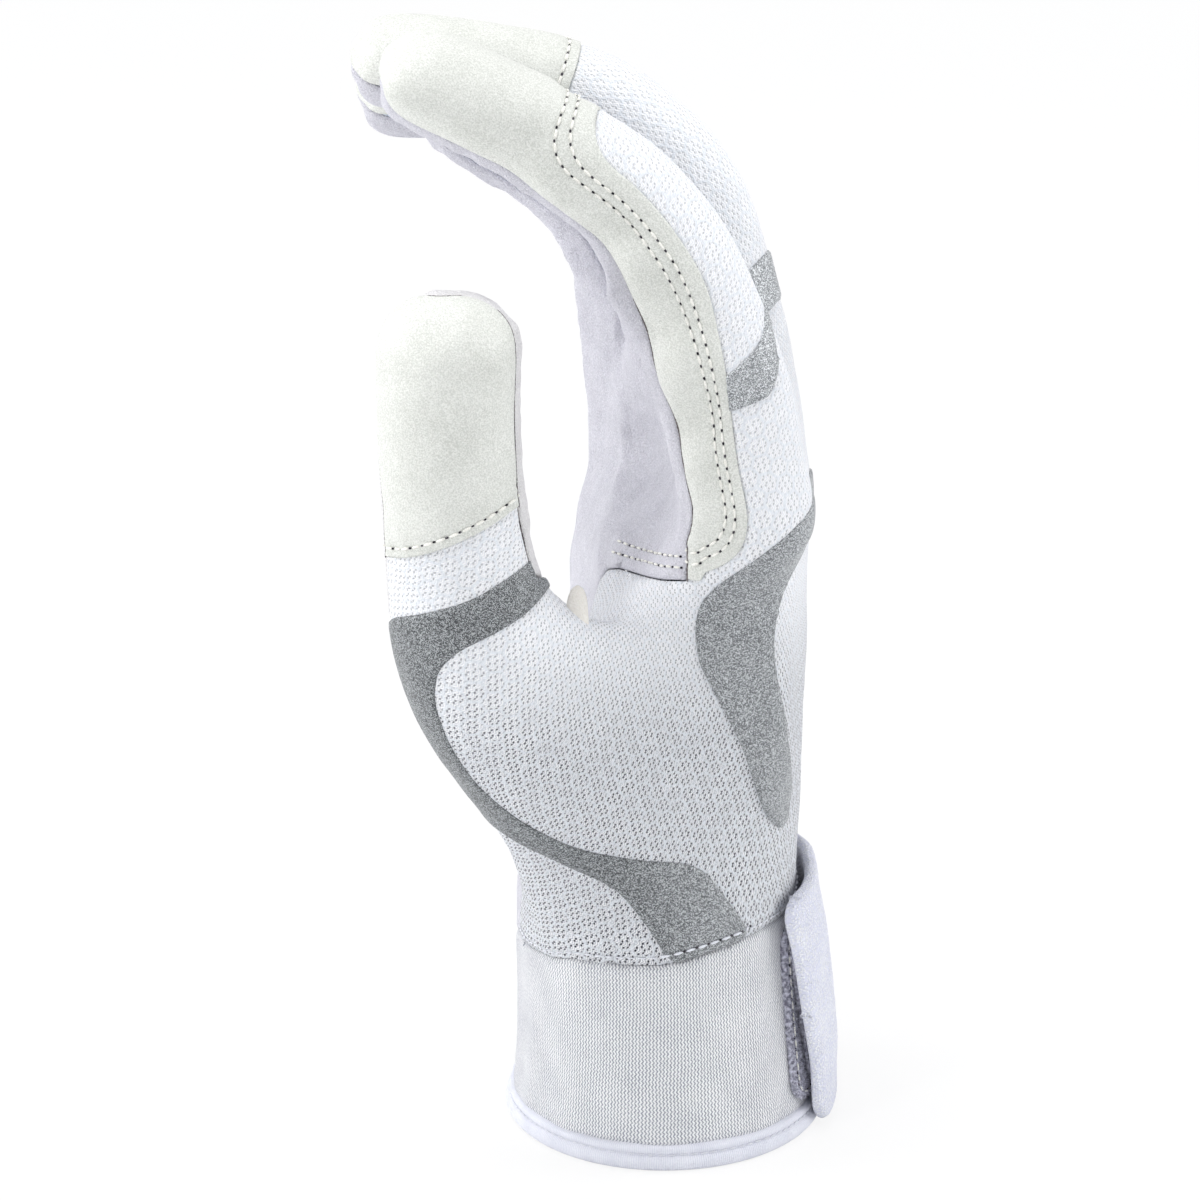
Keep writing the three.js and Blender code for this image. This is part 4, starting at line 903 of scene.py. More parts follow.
def knit_paint(start):
    """Staggered pairs of small holes between slanting loops, with a faint honeycomb of thicker yarn."""
    place = start.place()
    cloth = start.cloth().warped(5, (1.3, 1.3, 0), 1)

    def nearest(width, height, shift):
        cell = cloth.vector("MULTIPLY_ADD", cloth, (1 / width, 1 / height, 0), (shift, shift, 0))
        inside = cell.vector("SUBTRACT", cell.vector("FRACTION", cell), (0.5, 0.5, 0))
        return inside.scaled((width, height, 0))

    def length(vector):
        return vector.vector("LENGTH", vector, output=1)

    def to_hole(shift):
        inside = nearest(hole_pitch, hole_rows, shift)
        twin = inside.vector("SUBTRACT", inside.vector("ABSOLUTE", inside), (0, hole_twin, 0))
        return length(twin.scaled((1, 0.75, 1)))

    away = cloth.math("MINIMUM", to_hole(0), to_hole(0.5))
    hole = away.step(hole_radius * 1.45, hole_radius * 0.5)
    a, b = (nearest(cell_size, cell_size * math.sqrt(3), shift) for shift in (0, 0.5))
    closer = length(a).math("GREATER_THAN", length(a), length(b))
    cell = closer.mix(a.vector("ABSOLUTE", a), b.vector("ABSOLUTE", b))
    slanted = cell.vector("DOT_PRODUCT", cell, (0.5, math.sqrt(0.75), 0), output=1)
    comb = slanted.math("MAXIMUM", slanted, cell.part(0)).step(cell_size * 0.39, cell_size * 0.46)
    climb = cloth.part(1).math("PINGPONG", cloth.part(1), hole_rows / 4)
    strand = cloth.part(0) + climb * 0.7
    loops = (strand.math("PINGPONG", strand, hole_pitch / 6) / (hole_pitch / 6)).step(0.1, 0.8)
    lint = cloth.noise(0.4, 2, 0.6)
    soft = cloth.noise(7, 2)
    # Painted shade: the knit's white is painted greyer from 113 mm down to 80 mm, and its holes darker from
    # 142 mm down.
    low = place.part(2).step(113 * mm, 80 * mm)
    lower = place.part(2).step(142 * mm, 112 * mm)
    shade = (loops * 0.5 + lint * 0.75 + soft * 0.25).step(0.35, 1.15)
    white = shade.mix(low.mix(linear(230, 232, 238), linear(184, 187, 196)), linear(254, 254, 255))
    lined = (comb * 0.75).mix(white, linear(233, 237, 243))
    # Painted shade: the holes are nearly black, for the glove's hollow inside seen through them; soft noise
    # varies them and the honeycomb lessens them.
    dark = hole * (0.32 + lower * 0.2 + low * 0.48) * (0.6 + soft * 0.75) * (1 - comb * 0.7)
    height = away.step(0.05, 0.45) * 0.2 + loops * 0.12 + lint * 0.14 + comb * 0.12
    return {"Base Color": dark.mix(lined, linear(30, 32, 46)),
            "Normal": start.bump(height * (0.6 + low * 0.5), 0.9)}


knit_finish = finish("mesh_knit", knit_paint, Roughness=0.85, Specular_IOR_Level=0.2, Sheen_Weight=0.15,
                     Sheen_Roughness=0.5)


def knit_rise(p):
    """Soft waves of stretched knit, a little fuller between the seams than along them."""
    return smoothstep(p[:, EDGE], 0, knit_wave_reach) * waves(p, knit_waves)


def knit_back(level):
    return pieces_of(keep(back_side(level), lambda p, region: knit_field(p, region) - seam_gap / 2))[0]


knit_sheet = knit_back(skin_level)
knit_panel = shell(knit_sheet, -knit_thickness, 0, knit_rise(points_of(knit_sheet)), knit_rim)
dress(add_mesh("knit_back", *knit_panel["solid"], doubled(flattened(knit_sheet, "knit_pattern"), knit_panel)),
      knit_finish, "mesh_knit", "glove", "back_knit")

# The ivory panels. A long strip of smooth synthetic leather runs from the tip of the index finger
# down its thumb side, and each other finger and the thumb has a cap of it. All lie over the knit's
# edge and are top-stitched, the strip with two rows, and are seamed to the palm hide inside out.
synthetic_thickness, synthetic_rise, synthetic_rim = 1.3, 0.35, (1.2, 0.9)
lap, lapped_edge = 0.6, 0.9
stitch_rows = (2.4, 4.4)
cap_row, thumb_cap_row = 1.3, 1.2
stitch_pitch, stitch_size = 2.4, (1.9, 0.56, 0.6)
# The hole size is that of the dark spots painted at the needle holes as their shade.
stitch_lift, hole_size = 0.2, (0.7, 0.46, 0.34)
synthetic_waves = (0.45, 12, 7), (0.15, 5, 8)
strip_crown, dent_size = 0.8, 4.6
strip_dents = ((-26.7, 171, 1.2), (-10, 157.5, 1.7), (-0.9, 141, 2.2), (4.6, 124, 2), (-21, 165, -0.5),
               (1, 132, -0.6), (4.5, 113, -0.5))
row_groove, row_groove_width, row_pucker, row_pucker_width = 0.26, 0.45, 0.2, 2.4
contour_passes = 6
# The dark seam cords are painted shadow along the seams' crevices: their pitch, contour level, turn limit and
# fewest points.
seam_shadow_pitch, seam_shadow_level, seam_shadow_turn, seam_shadow_points = 0.8, 0.35, 0.5, 6


def ivory_paint(start):
    place = start.place()
    grain = place.warped(2 * mm, (0.4 * mm,) * 3).cells(0.5 * mm, "DISTANCE_TO_EDGE").step(0, 0.3)
    fine = place.noise(0.3 * mm, 2, 0.6)
    mottle = place.noise(8 * mm, 3)
    shade = fine.step(0.34, 0.68) * 0.65 + mottle.step(0.25, 0.75) * 0.2 + grain * 0.15
    height = grain * 0.03 + fine * 0.12 + place.noise(3.5 * mm, 2) * 0.15
    return {"Base Color": shade.mix(linear(198, 200, 193), linear(240, 241, 236)),
            "Roughness": 0.5 - mottle * 0.12, "Normal": start.bump(height, 0.9)}


ivory_finish = finish("ivory_synthetic", ivory_paint, Specular_IOR_Level=0.4)


def thread_paint(dark, light):
    """Twisted plies, which show as a fine pattern along each stitch."""
    def paint(start):
        twist = start.place().scaled((1, 1, 1.6)).noise(0.16 * mm, 1)
        return {"Base Color": twist.step(0.3, 0.7).mix(dark, light), "Normal": start.bump(twist * 0.08, 0.8)}
    return paint


def needle_hole_shade_paint(start):
    place = start.place()
    # Painted shade of a needle hole: nearly black, a little lighter in patches.
    return {"Base Color": place.noise(0.5 * mm).step(0.3, 0.7).mix(linear(30, 29, 34), linear(88, 84, 90))}


def seam_shadow_paint(start):
    place = start.place()
    # Painted shadow: dark grey, lighter in soft patches.
    worn = place.noise(1.6 * mm, 2).step(0.3, 0.7)
    return {"Base Color": worn.mix(linear(66, 60, 62), linear(132, 126, 126))}


thread_finish = finish("polyester_thread", thread_paint(linear(224, 222, 212), linear(255, 254, 250)),
                       Roughness=0.5, Sheen_Weight=0.2)
white_thread_finish = finish("white_thread", thread_paint(linear(212, 214, 224), linear(246, 247, 252)),
                             Roughness=0.55, Sheen_Weight=0.2)
# Painted shadow: the seam cords' finish stands for the shade in a seam's crevice.
seam_shadow_finish = finish("seam_shadow_cord", seam_shadow_paint, Roughness=0.9, Specular_IOR_Level=0.1)
# Painted shade: the needle holes' finish stands for the shade in each hole.
needle_hole_shade_finish = finish("needle_hole_shade", needle_hole_shade_paint, Roughness=0.95, Specular_IOR_Level=0.1)


def contour(panel, field, level, shortest=8):
    """Lines on a panel's outer face where the field has a value: lists of places and normals."""
    faces, regions = panel["faces"], panel["regions"]
    values = field(panel["points"][faces], regions[:, None]) - level
    above = values > 0
    crossings, links = {}, {}
    for t in np.nonzero(above.any(1) & ~above.all(1))[0]:
        ends = []
        for i, j in ((0, 1), (1, 2), (2, 0)):
            if above[t, i] == above[t, j]:
                continue
            a, b = int(faces[t, i]), int(faces[t, j])
            share = values[t, i] / (values[t, i] - values[t, j])
            key = (min(a, b), max(a, b))
            if key not in crossings:
                crossings[key] = np.concatenate([panel[part][a] + (panel[part][b] - panel[part][a]) * share
                                                 for part in ("outer", "normals")])
            ends.append(key)
        for one, other in (ends, ends[::-1]):
            links.setdefault(one, []).append(other)
    lines_found, seen = [], set()
    for start in sorted(links, key=lambda key: (len(links[key]), key)):
        if start in seen:
            continue
        chain = [start]
        seen.add(start)
        while True:
            ahead = [key for key in links[chain[-1]] if key not in seen]
            if not ahead:
                break
            chain.append(ahead[0])
            seen.add(ahead[0])
        line = np.array([crossings[key] for key in chain])
        for _ in range(contour_passes):
            line[1:-1] = (line[:-2] + 2 * line[1:-1] + line[2:]) / 4
        if np.linalg.norm(np.diff(line[:, :3], axis=0), axis=1).sum() > shortest:
            lines_found.append(line)
    return lines_found


def node_tree(name, **kinds):
    """An empty tree of Geometry Nodes, and a wire from each of its named inputs."""
    tree = bpy.data.node_groups.new(name, "GeometryNodeTree")
    for socket, kind in kinds.items():
        tree.interface.new_socket(socket, in_out="INPUT", socket_type="NodeSocket" + kind)
    tree.interface.new_socket("Made", in_out="OUTPUT", socket_type="NodeSocketGeometry")
    given = tree.nodes.new("NodeGroupInput")
    return tree, [Wire(tree, given.outputs[socket]) for socket in kinds]


def lay(tree, points, shape, turn, material):
    """Ends a tree: the shape at every point, made a real mesh of its material."""
    laid = points.node("GeometryNodeInstanceOnPoints", None,
                       {"Points": points, "Instance": shape, "Rotation": turn})
    laid = laid.node("GeometryNodeRealizeInstances", None, {"Geometry": laid})
    laid = laid.node("GeometryNodeSetMaterial", None, {"Geometry": laid, "Material": material})
    tree.links.new(laid.socket, tree.nodes.new("NodeGroupOutput").inputs[0])


def sewing_tree():
    """Nodes that lay one small spindle every pitch along lines, square to the cloth they lie on."""
    tree, (seams, pitch, size, lift, shift, material) = node_tree(
        "sewing", Lines="Geometry", Pitch="Float", Size="Vector", Lift="Float", Shift="Float",
        Finish="Material")
    curve = seams.node("GeometryNodeMeshToCurve", None, {0: seams})
    curve = curve.node("GeometryNodeResampleCurve", {"mode": "LENGTH"}, {"Curve": curve, "Length": pitch})
    up = curve.node("GeometryNodeInputNamedAttribute", {"data_type": "FLOAT_VECTOR"}, {"Name": "up"})
    tangent = curve.node("GeometryNodeInputTangent")
    offset = tangent.vector("ADD", tangent.scaled_by(shift), up.scaled_by(lift))
    curve = curve.node("GeometryNodeSetPosition", None, {"Geometry": curve, "Offset": offset})
    turn = up.node("FunctionNodeAxesToRotation", {"primary_axis": "Z", "secondary_axis": "X"},
                   {"Primary Axis": up, "Secondary Axis": tangent})
    spindle = size.node("GeometryNodeMeshUVSphere", None, {"Segments": 8, "Rings": 6, "Radius": 0.5})
    spindle = spindle.node("GeometryNodeTransform", None, {"Geometry": spindle, "Scale": size})
    spindle = spindle.node("GeometryNodeSetShadeSmooth", None, {"Geometry": spindle})
    lay(tree, curve, spindle, turn, material)
    return tree


def grown(name, source, tree, **values):
    """The plain mesh that a tree makes of a source object, which is then removed."""
    modifier = source.modifiers.new("made", "NODES")
    modifier.node_group = tree
    for item in tree.interface.items_tree:
        if item.item_type == "SOCKET" and item.in_out == "INPUT" and item.name in values:
            modifier[item.identifier] = values[item.name]
    source.update_tag()
    bpy.context.view_layer.update()
    evaluated = source.evaluated_get(bpy.context.evaluated_depsgraph_get())
    mesh = bpy.data.meshes.new_from_object(evaluated)
    bpy.data.objects.remove(source)
    piece = bpy.data.objects.new(name, mesh)
    scene.collection.objects.link(piece)
    return piece


sewing = sewing_tree()


def in_metres(size):
    return tuple(value * mm for value in size)


def sewn(name, found, material, slot, body, pitch, size, lift=0.0, shift=0.0):
    """Spindles of one size along lines of places and normals, all in millimetres."""
    points = np.vstack(found)
    breaks = set(np.cumsum([len(line) for line in found]).tolist())
    source = bpy.data.objects.new(name + "_lines", bpy.data.meshes.new(name + "_lines"))
    source.data.from_pydata((points[:, :3] * mm + middle).tolist(),
                            [(i, i + 1) for i in range(len(points) - 1) if i + 1 not in breaks], [])
    up = source.data.attributes.new("up", "FLOAT_VECTOR", "POINT")
    up.data.foreach_set("vector", points[:, 3:6].ravel())
    scene.collection.objects.link(source)
    piece = grown(name, source, sewing, Finish=material, Pitch=pitch * mm, Size=in_metres(size),
                  Lift=lift * mm, Shift=shift * mm)
    enter(piece, slot, body)


def stitched(name, found, slot, pitch=stitch_pitch, size=stitch_size, holes=True, thread=thread_finish):
    """A row of stitches along each line, and dark spots at the needle holes between them: painted shade of
    the holes.
    """
    sewn(name, found, thread, slot, "glove", pitch, size, lift=stitch_lift)
    if holes:
        sewn(name + "_holes", found, needle_hole_shade_finish, slot, "glove", pitch, hole_size, shift=pitch / 2)


def seam_line(p, region):
    return p[..., ROLL] - p[..., GUSSET]


def seam_shadow_cord(name, panel, slot, low, high, size, left=-99, right=99):
    """A dark cord along a seam sewn inside out, between two heights: painted shadow of the seam's crevice."""
    found = []
    for line in contour(panel, seam_line, seam_shadow_level):
        height, normal_y = sight_height(line), line[:, 3 + Y]
        near = (height > low) & (height < high) & (line[:, X] > left) & (line[:, X] < right)
        near &= normal_y < seam_shadow_turn
        for part in np.split(np.arange(len(line)), np.nonzero(np.diff(near))[0] + 1):
            if near[part[0]] and len(part) > seam_shadow_points:
                found.append(line[part])
    sewn(name, found, seam_shadow_finish, slot, "glove", seam_shadow_pitch, size)


def ivory_panel(name, sheet, field, rows, node):
    """A lapped panel: its field is zero where it meets the knit, and its rows follow that edge."""
    sheet = pieces_of(keep(sheet, lambda p, region: field(p, region) + lap))[0]
    points, triangles, regions = sheet
    point_regions = np.zeros(len(points), int)
    point_regions[triangles] = regions[:, None]
    inward = field(points, point_regions)
    seam = points[:, ROLL] - points[:, GUSSET]
    points[:, EDGE] = np.minimum(seam, inward + lap + lapped_edge)
    p, inward, seam = (values[np.unique(triangles)] for values in (points, inward, seam))
    rise = waves(p, synthetic_waves) * smoothstep(seam, 0, calm_edge)
    if node == "index_side_panel":
        rise += strip_crown * smoothstep(seam, 0, 5) * smoothstep(inward, 4, 9)
        for x, height, depth in strip_dents:
            away = np.hypot(p[:, X] - x, sight_height(p) - height)
            rise -= depth * np.exp(-(away / dent_size) ** 2) * (0.35 + 0.65 * smoothstep(seam, 0, 3))
    for row in rows:
        rise -= row_groove * np.exp(-((inward - row) / row_groove_width) ** 2)
    near_rows = np.exp(-((inward - sum(rows) / len(rows)) / row_pucker_width) ** 2)
    rise += row_pucker * near_rows * noise_at(p, stitch_pitch, 9)
    panel = shell(sheet, synthetic_rise - synthetic_thickness, synthetic_rise, rise, synthetic_rim)
    dress(add_mesh(name, *panel["solid"]), ivory_finish, "ivory_synthetic", "glove", node)
    found = [line for row in rows for line in contour(panel, field, row)]
    stitched(name + "_stitches", found, "ivory_synthetic")
    return panel


fine_back = back_side(fine_level)
index_panel = ivory_panel("index_strip", region_of(fine_back, "index", "hand"), side_panel_field, stitch_rows,
                          "index_side_panel")
thumb_panel = ivory_panel("thumb_tip_cap", region_of(fine_back, "thumb"), thumb_cap_field, (thumb_cap_row,),
                          "thumb_cap")
# Dark cords in the seams beside the strip, the thumb cap and the knit by the thumb: painted shadow of their
# crevices.
seam_shadow_cord("index_seam_shadow", index_panel, "ivory_synthetic", 96, 146, (1.2, 0.44, 0.4))
seam_shadow_cord("thumb_seam_shadow", thumb_panel, "ivory_synthetic", 100, 150, (1.2, 0.34, 0.34))
seam_shadow_cord("thumb_knit_seam_shadow", knit_panel, "mesh_knit", 93, 114, (1.3, 0.6, 0.5), -27, -13)
for name in finger_names[1:]:
    ivory_panel(name + "_tip_cap", region_of(fine_back, name), cap_field, (cap_row,), name + "_cap")

# The strips between the fingers. A narrow tape of pale blue stretch knit joins the back of each
# finger to its palm hide and runs down through the fork to the next finger.
gusset_thickness, gusset_rim, gusset_waves = 0.8, (1.2, 0.6), ((0.25, 7, 11),)


def stretch_paint(start):
    place = start.place()
    ribs = place.scaled((1, 1, 0.35)).noise(0.5 * mm, 2)
    soft = place.noise(6 * mm)
    shade = (ribs * 0.6 + soft * 0.6).step(0.25, 0.9)
    return {"Base Color": shade.mix(linear(190, 202, 220), linear(224, 231, 242)),
            "Normal": start.bump(ribs * 0.2, 0.8)}


stretch_finish = finish("stretch_knit", stretch_paint, Roughness=0.85, Specular_IOR_Level=0.2,
                        Sheen_Weight=0.15)
fine_strips = keep(keep(uppers[fine_level], lambda p, region: p[..., GUSSET] - p[..., ROLL] - seam_gap / 2),
                   lambda p, region: strip_front(p) + p[..., ROLL] - seam_gap / 2)
fine_strips = sorted(pieces_of(fine_strips)[:3], key=lambda sheet: points_of(sheet)[:, Y].mean())
for sheet, pair in zip(fine_strips, zip(finger_names, finger_names[1:])):
    panel = shell(sheet, -gusset_thickness, 0, waves(points_of(sheet), gusset_waves), gusset_rim)
    dress(add_mesh("strip_%s_%s" % pair, *panel["solid"]), stretch_finish, "finger_gusset", "glove",
          "gusset_%s_%s" % pair)

# The silver overlays. Grey film full of fine glitter is cut to shape and hot-pressed on to the knit:
# one band round the thumb and down to the cuff, one on each side of the hand's back, and a
# slanting flash across each finger.
overlay_low, overlay_high, overlay_rim, outline_cut = -0.15, 0.5, (0.7, 0.35), 0.2
thumb_overlay_sight, back_overlay_sight, little_overlay_drop_share = 0, 40, 0.05
thumb_overlay_shares = (
    (-0.893, 0.89), (-0.786, 0.896), (-0.625, 0.92), (-0.493, 0.965), (-0.386, 1.015), (-0.348, 0.965),
    (-0.429, 0.904), (-0.536, 0.866), (-0.661, 0.832), (-0.729, 0.796), (-0.743, 0.744), (-0.696, 0.664),
    (-0.589, 0.58), (-0.446, 0.514), (-0.275, 0.47), (-0.089, 0.452), (0.079, 0.446), (0.143, 0.424),
    (0.207, 0.374), (0.282, 0.314), (0.161, 0.284), (0.021, 0.258), (-0.054, 0.33), (-0.154, 0.4),
    (-0.304, 0.438), (-0.493, 0.488), (-0.65, 0.56), (-0.768, 0.65), (-0.843, 0.75), (-0.882, 0.83),
)
back_overlay_shares = (
    (0.304, 1.085), (0.268, 1.115), (0.143, 1.095), (0, 1.06), (-0.107, 1.03), (-0.214, 0.995),
    (-0.295, 0.965), (-0.336, 0.93), (-0.348, 0.88), (-0.336, 0.823), (-0.277, 0.76), (-0.179, 0.66),
    (-0.089, 0.56), (-0.027, 0.51), (0.071, 0.475), (0.125, 0.49), (0.107, 0.555), (0.021, 0.65),
    (-0.057, 0.75), (-0.084, 0.825), (-0.075, 0.9), (-0.027, 0.95), (0.089, 0.995), (0.214, 1.04),
)
flash_fin = ((1.8, 12.5), (3.1, 8), (4, 4), (4.5, 0), (3.2, -4), (0, -7.6), (-4, -10.6), (-6.2, -6),
             (-7, -2.5), (-2, 1.2), (1, 4.5), (2, 8))
flash_places = {  # the side it is seen from in degrees, then x and height from there
    "index": (0, 15.8, 133.4), "middle": (0, 17.8, 151), "ring": (180, -9, 145), "little": (180, 4, 128)}
glitter_size = 0.16
# Each pair runs from the film's plain tone to its painted sheen: the first for the film, the second for its
# glitter.
film_dark, film_bright = ((44, 47, 50), (120, 123, 126)), ((176, 180, 182), (232, 235, 238))


def silver_paint(start):
    place = start.place()
    flakes = place.node("ShaderNodeTexVoronoi", None,
                        {"Vector": place, "Scale": 1 / (glitter_size * mm)}, 1).part(0)
    grains = place.noise(0.13 * mm, 1)
    cloudy = place.noise(9 * mm, 2)
    # Painted sheen: the film is painted paler towards the back of the hand and higher up, where it catches
    # the lamps, with a little cloudy tone of its own.
    pale = place.part(0).step(0, 26 * mm) * 0.4 + place.part(2).step(112 * mm, 150 * mm) * 0.4 + cloudy * 0.1
    shine = flakes.step(0.25, 1) * 0.9 + grains.step(0.35, 0.65) * 0.4
    base, bright = (pale.mix(linear(*low), linear(*high)) for low, high in (film_dark, film_bright))
    return {"Base Color": shine.step(0.1, 1.2).mix(base, bright), "Roughness": 0.5 - flakes * 0.14,
            "Metallic": flakes.step(0.6, 1) * 0.4, "Normal": start.bump(flakes * 0.03 + grains * 0.05, 0.8)}


silver_finish = finish("silver_glitter_film", silver_paint, Specular_IOR_Level=0.4)


def sight_of(turn):
    """The directions to the right, up and towards the eye, for a turn round the glove."""
    turn = math.radians(turn)
    side = np.array([math.cos(turn), math.sin(turn), 0])
    level = np.array([math.sin(turn), -math.cos(turn), 0])
    up = np.array([0, 0, math.cos(camera_elevation)]) - level * math.sin(camera_elevation)
    return side, up, np.cross(side, up)


def corners_cut(outline, share, passes=2):
    """A closed outline with its corners cut a little, by a share of each side, as a knife turns them."""
    for _ in range(passes):
        after = np.roll(outline, -1, 0)
        outline = np.stack([outline * (1 - share) + after * share,
                            outline * share + after * (1 - share)], 1).reshape(-1, 2)
    return outline


def inside_outline(right, height, outline):
    """How far a place lies inside an outline, or below zero outside it."""
    place = np.stack([right, height], -1)[..., None, :]
    start, end = outline, np.roll(outline, -1, 0)
    run = end - start
    share = np.clip(((place - start) * run).sum(-1) / (run * run).sum(-1), 0, 1)
    away = np.linalg.norm(place - start - run * share[..., None], axis=-1).min(-1)
    crossed = (start[:, 1] > place[..., 1]) != (end[:, 1] > place[..., 1])
    with np.errstate(divide="ignore", invalid="ignore"):
        reach = start[:, 0] + run[:, 0] * (place[..., 1] - start[:, 1]) / run[:, 1]
    odd = (crossed & (place[..., 0] < reach)).sum(-1) % 2 == 1
    return np.where(odd, away, -away)


def overlay_field(turn, shares):
    side, up, toward = sight_of(turn)
    outline = corners_cut(np.array(shares, float) * (mouth_depth, fork_height), outline_cut)

    def field(p, region):
        seen = p[..., NORMAL:NORMAL + 3] @ toward > 0
        inside = inside_outline(p[..., :3] @ side, p[..., :3] @ up, outline)
        return np.where(seen, inside, -np.abs(inside) - 0.01)
    return field


def pressed_on(name, sheet, node):
    """Film on the knit: it follows the knit's own waves and has a thin crisp edge."""
    p = points_of(sheet).copy()
    p[:, EDGE] = np.minimum(seam_line(p, None), cuff_line(p, None))
    panel = shell(sheet, overlay_low, overlay_high, knit_rise(p), overlay_rim)
    dress(add_mesh(name, *panel["solid"]), silver_finish, "silver_overlay", "glove", node)
    return panel


whole_knit = knit_back(fine_level)
fine_knit = region_of(whole_knit, "hand", "thumb")
little_overlay_shares = [(-right, height - little_overlay_drop_share)
                         for right, height in back_overlay_shares]
bands = {}
for name, turn, shares, node in (
        ("thumb_band", thumb_overlay_sight, thumb_overlay_shares, "thumb_overlay"),
        ("back_band", back_overlay_sight, back_overlay_shares, "back_overlay"),
        ("little_side_band", 180 - back_overlay_sight, little_overlay_shares[::-1], "little_side_overlay")):
    bands[name] = pressed_on(name, pieces_of(keep(fine_knit, overlay_field(turn, shares)))[0], node)

for name, (turn, right, height) in flash_places.items():
    way = 1 if turn == 0 else -1
    shares = [((x * way + right) / mouth_depth, (up + height) / fork_height) for x, up in flash_fin]
    sheet = keep(region_of(whole_knit, name), overlay_field(turn, shares))
    pressed_on(name + "_flash_film", pieces_of(sheet)[0], name + "_flash")

# The cuff. A band of fine zigzag-ribbed elastic knit is sewn to the hand above it, and gathers a
# little where it is stretched. A folded binding is sewn round its mouth, and a slit down the back
# lets the hand in, with thin stretch knit behind it.
cuff_thickness, cuff_rim = 2.2, (1.1, 0.55)
gather_spread, gather_width, cuff_gathers, cuff_swell = (30, 30, 0.25), (4.5, 12), 0.22, (0.2, 15, 13)
layer_gap = 0.3
vent_side, vent_width, vent_top = 14, 3.2, 31
vent_gusset_width, vent_gusset_thickness, vent_rim, vent_waves = 15, 0.7, (0.8, 0.3), ((0.1, 4, 14),)
binding_height, binding_outside, binding_lip = 6.6, 0.4, 4.6
rib_pitch, rib_row = 0.62, 0.84


def elastic_paint(start):
    cloth = start.cloth().warped(9, (0.8, 1.2, 0), 1)
    zigzag = cloth.part(1).math("PINGPONG", cloth.part(1), rib_row / 2)
    column = cloth.part(0) + zigzag * 0.75
    ribs = (column.math("PINGPONG", column, rib_pitch / 2) / (rib_pitch / 2)).step(0.05, 0.75)
    lint = cloth.noise(0.4, 2)
    soft = cloth.noise(8, 2)
    shade = (ribs * 0.55 + lint * 0.8 + soft * 0.3).step(0.35, 1.25)
    return {"Base Color": shade.mix(linear(150, 153, 166), linear(254, 254, 255)),
            "Normal": start.bump(ribs * 0.2 + lint * 0.08, 0.9)}


elastic_finish = finish("elastic_ribs", elastic_paint, Roughness=0.8, Specular_IOR_Level=0.25,
                        Sheen_Weight=0.15)


def beyond_slit(p, region):
    beside_slit = np.abs(p[..., Y] - vent_side) - vent_width / 2
    return np.maximum(np.maximum(beside_slit, p[..., Z] - vent_top), -p[..., X])


def round_cloth(points, solid_faces):
    """Wraps the flat cloth round the wrist: arc length round, and height."""
    girth_radius = (mouth_depth + palm_width * 0.81) / 4
    turns = np.arctan2(points[:, Y], points[:, X])[solid_faces % len(points)]
    turns = np.where(turns - turns[:, :1] > math.pi, turns - 2 * math.pi, turns)
    turns = np.where(turns - turns[:, :1] < -math.pi, turns + 2 * math.pi, turns)
    return np.stack([turns * girth_radius, points[:, Z][solid_faces % len(points)]], -1)


cuff_sheet = keep(keep(skins[fine_level], lambda p, region: -cuff_line(p, region)),
                  lambda p, region: p[..., Z] - binding_lip + 0.4)
cuff_open = pieces_of(keep(cuff_sheet, beyond_slit))[0]
p = points_of(cuff_open)
turns = np.arctan2(p[:, Y], p[:, X])
gathers = noise_at(np.stack([np.cos(turns), np.sin(turns), p[:, Z]], 1) * gather_spread, *gather_width)
cuff_rise = cuff_gathers * gathers + waves(p, (cuff_swell,))
cuff_panel = shell(cuff_open, -cuff_thickness, 0, cuff_rise, cuff_rim)
cuff_cloth = round_cloth(cuff_panel["points"], cuff_panel["solid"][1])
dress(add_mesh("cuff_elastic", *cuff_panel["solid"], cuff_cloth), elastic_finish, "cuff_elastic", "glove",
      "cuff_band")

behind = keep(cuff_sheet, lambda p, region: np.minimum(
    vent_gusset_width / 2 - np.abs(p[..., Y] - vent_side), p[..., X]))
behind = pieces_of(keep(behind, lambda p, region: vent_top + vent_gusset_width / 4 - p[..., Z]))[0]
behind_outside = -cuff_thickness - layer_gap
panel = shell(behind, behind_outside - vent_gusset_thickness, behind_outside,
              waves(points_of(behind), vent_waves), vent_rim)
dress(add_mesh("vent_stretch", *panel["solid"]), stretch_finish, "finger_gusset", "glove", "vent_gusset")

# The binding. A strip of tricot tape is folded over the cuff's raw edge, turned under and sewn down
# in the groove between its two folds. Its ends stop at either side of the slit.
binding_steps, profile_cut = 640, 0.25
binding_groove, binding_stitch_pitch = 3.3, 1.9
wobble_width, wobble_seed, wobble_out, wobble_up = 7, 15, 0.18, 0.12
binding_profile = (
    (-0.6, 0), (0.3, 0.2), (0.95, 0.9), (1.1, 1.8), (0.8, 2.7), (0.1, 3.25), (0.45, 3.6), (0.55, 4.2),
    (0.2, 4.7), (-0.5, 4.9), (-2.6, 4.85), (-3.3, 4.5), (-3.45, 3.4), (-3.5, 2), (-3.2, 0.6), (-2.4, 0),
)


def tape_paint(start):
    cloth = start.cloth()
    fine = cloth.part(0).math("PINGPONG", cloth.part(0) + cloth.noise(2.5) * 0.4, 0.2) / 0.2
    yarn = cloth.noise(0.35, 2)
    soft = cloth.noise(5, 2)
    shade = (fine * 0.3 + yarn * 0.4 + soft * 0.5).step(0.1, 0.95)
    return {"Base Color": shade.mix(linear(208, 210, 224), linear(240, 241, 248)),
            "Normal": start.bump(fine * 0.08 + yarn * 0.12, 0.9)}


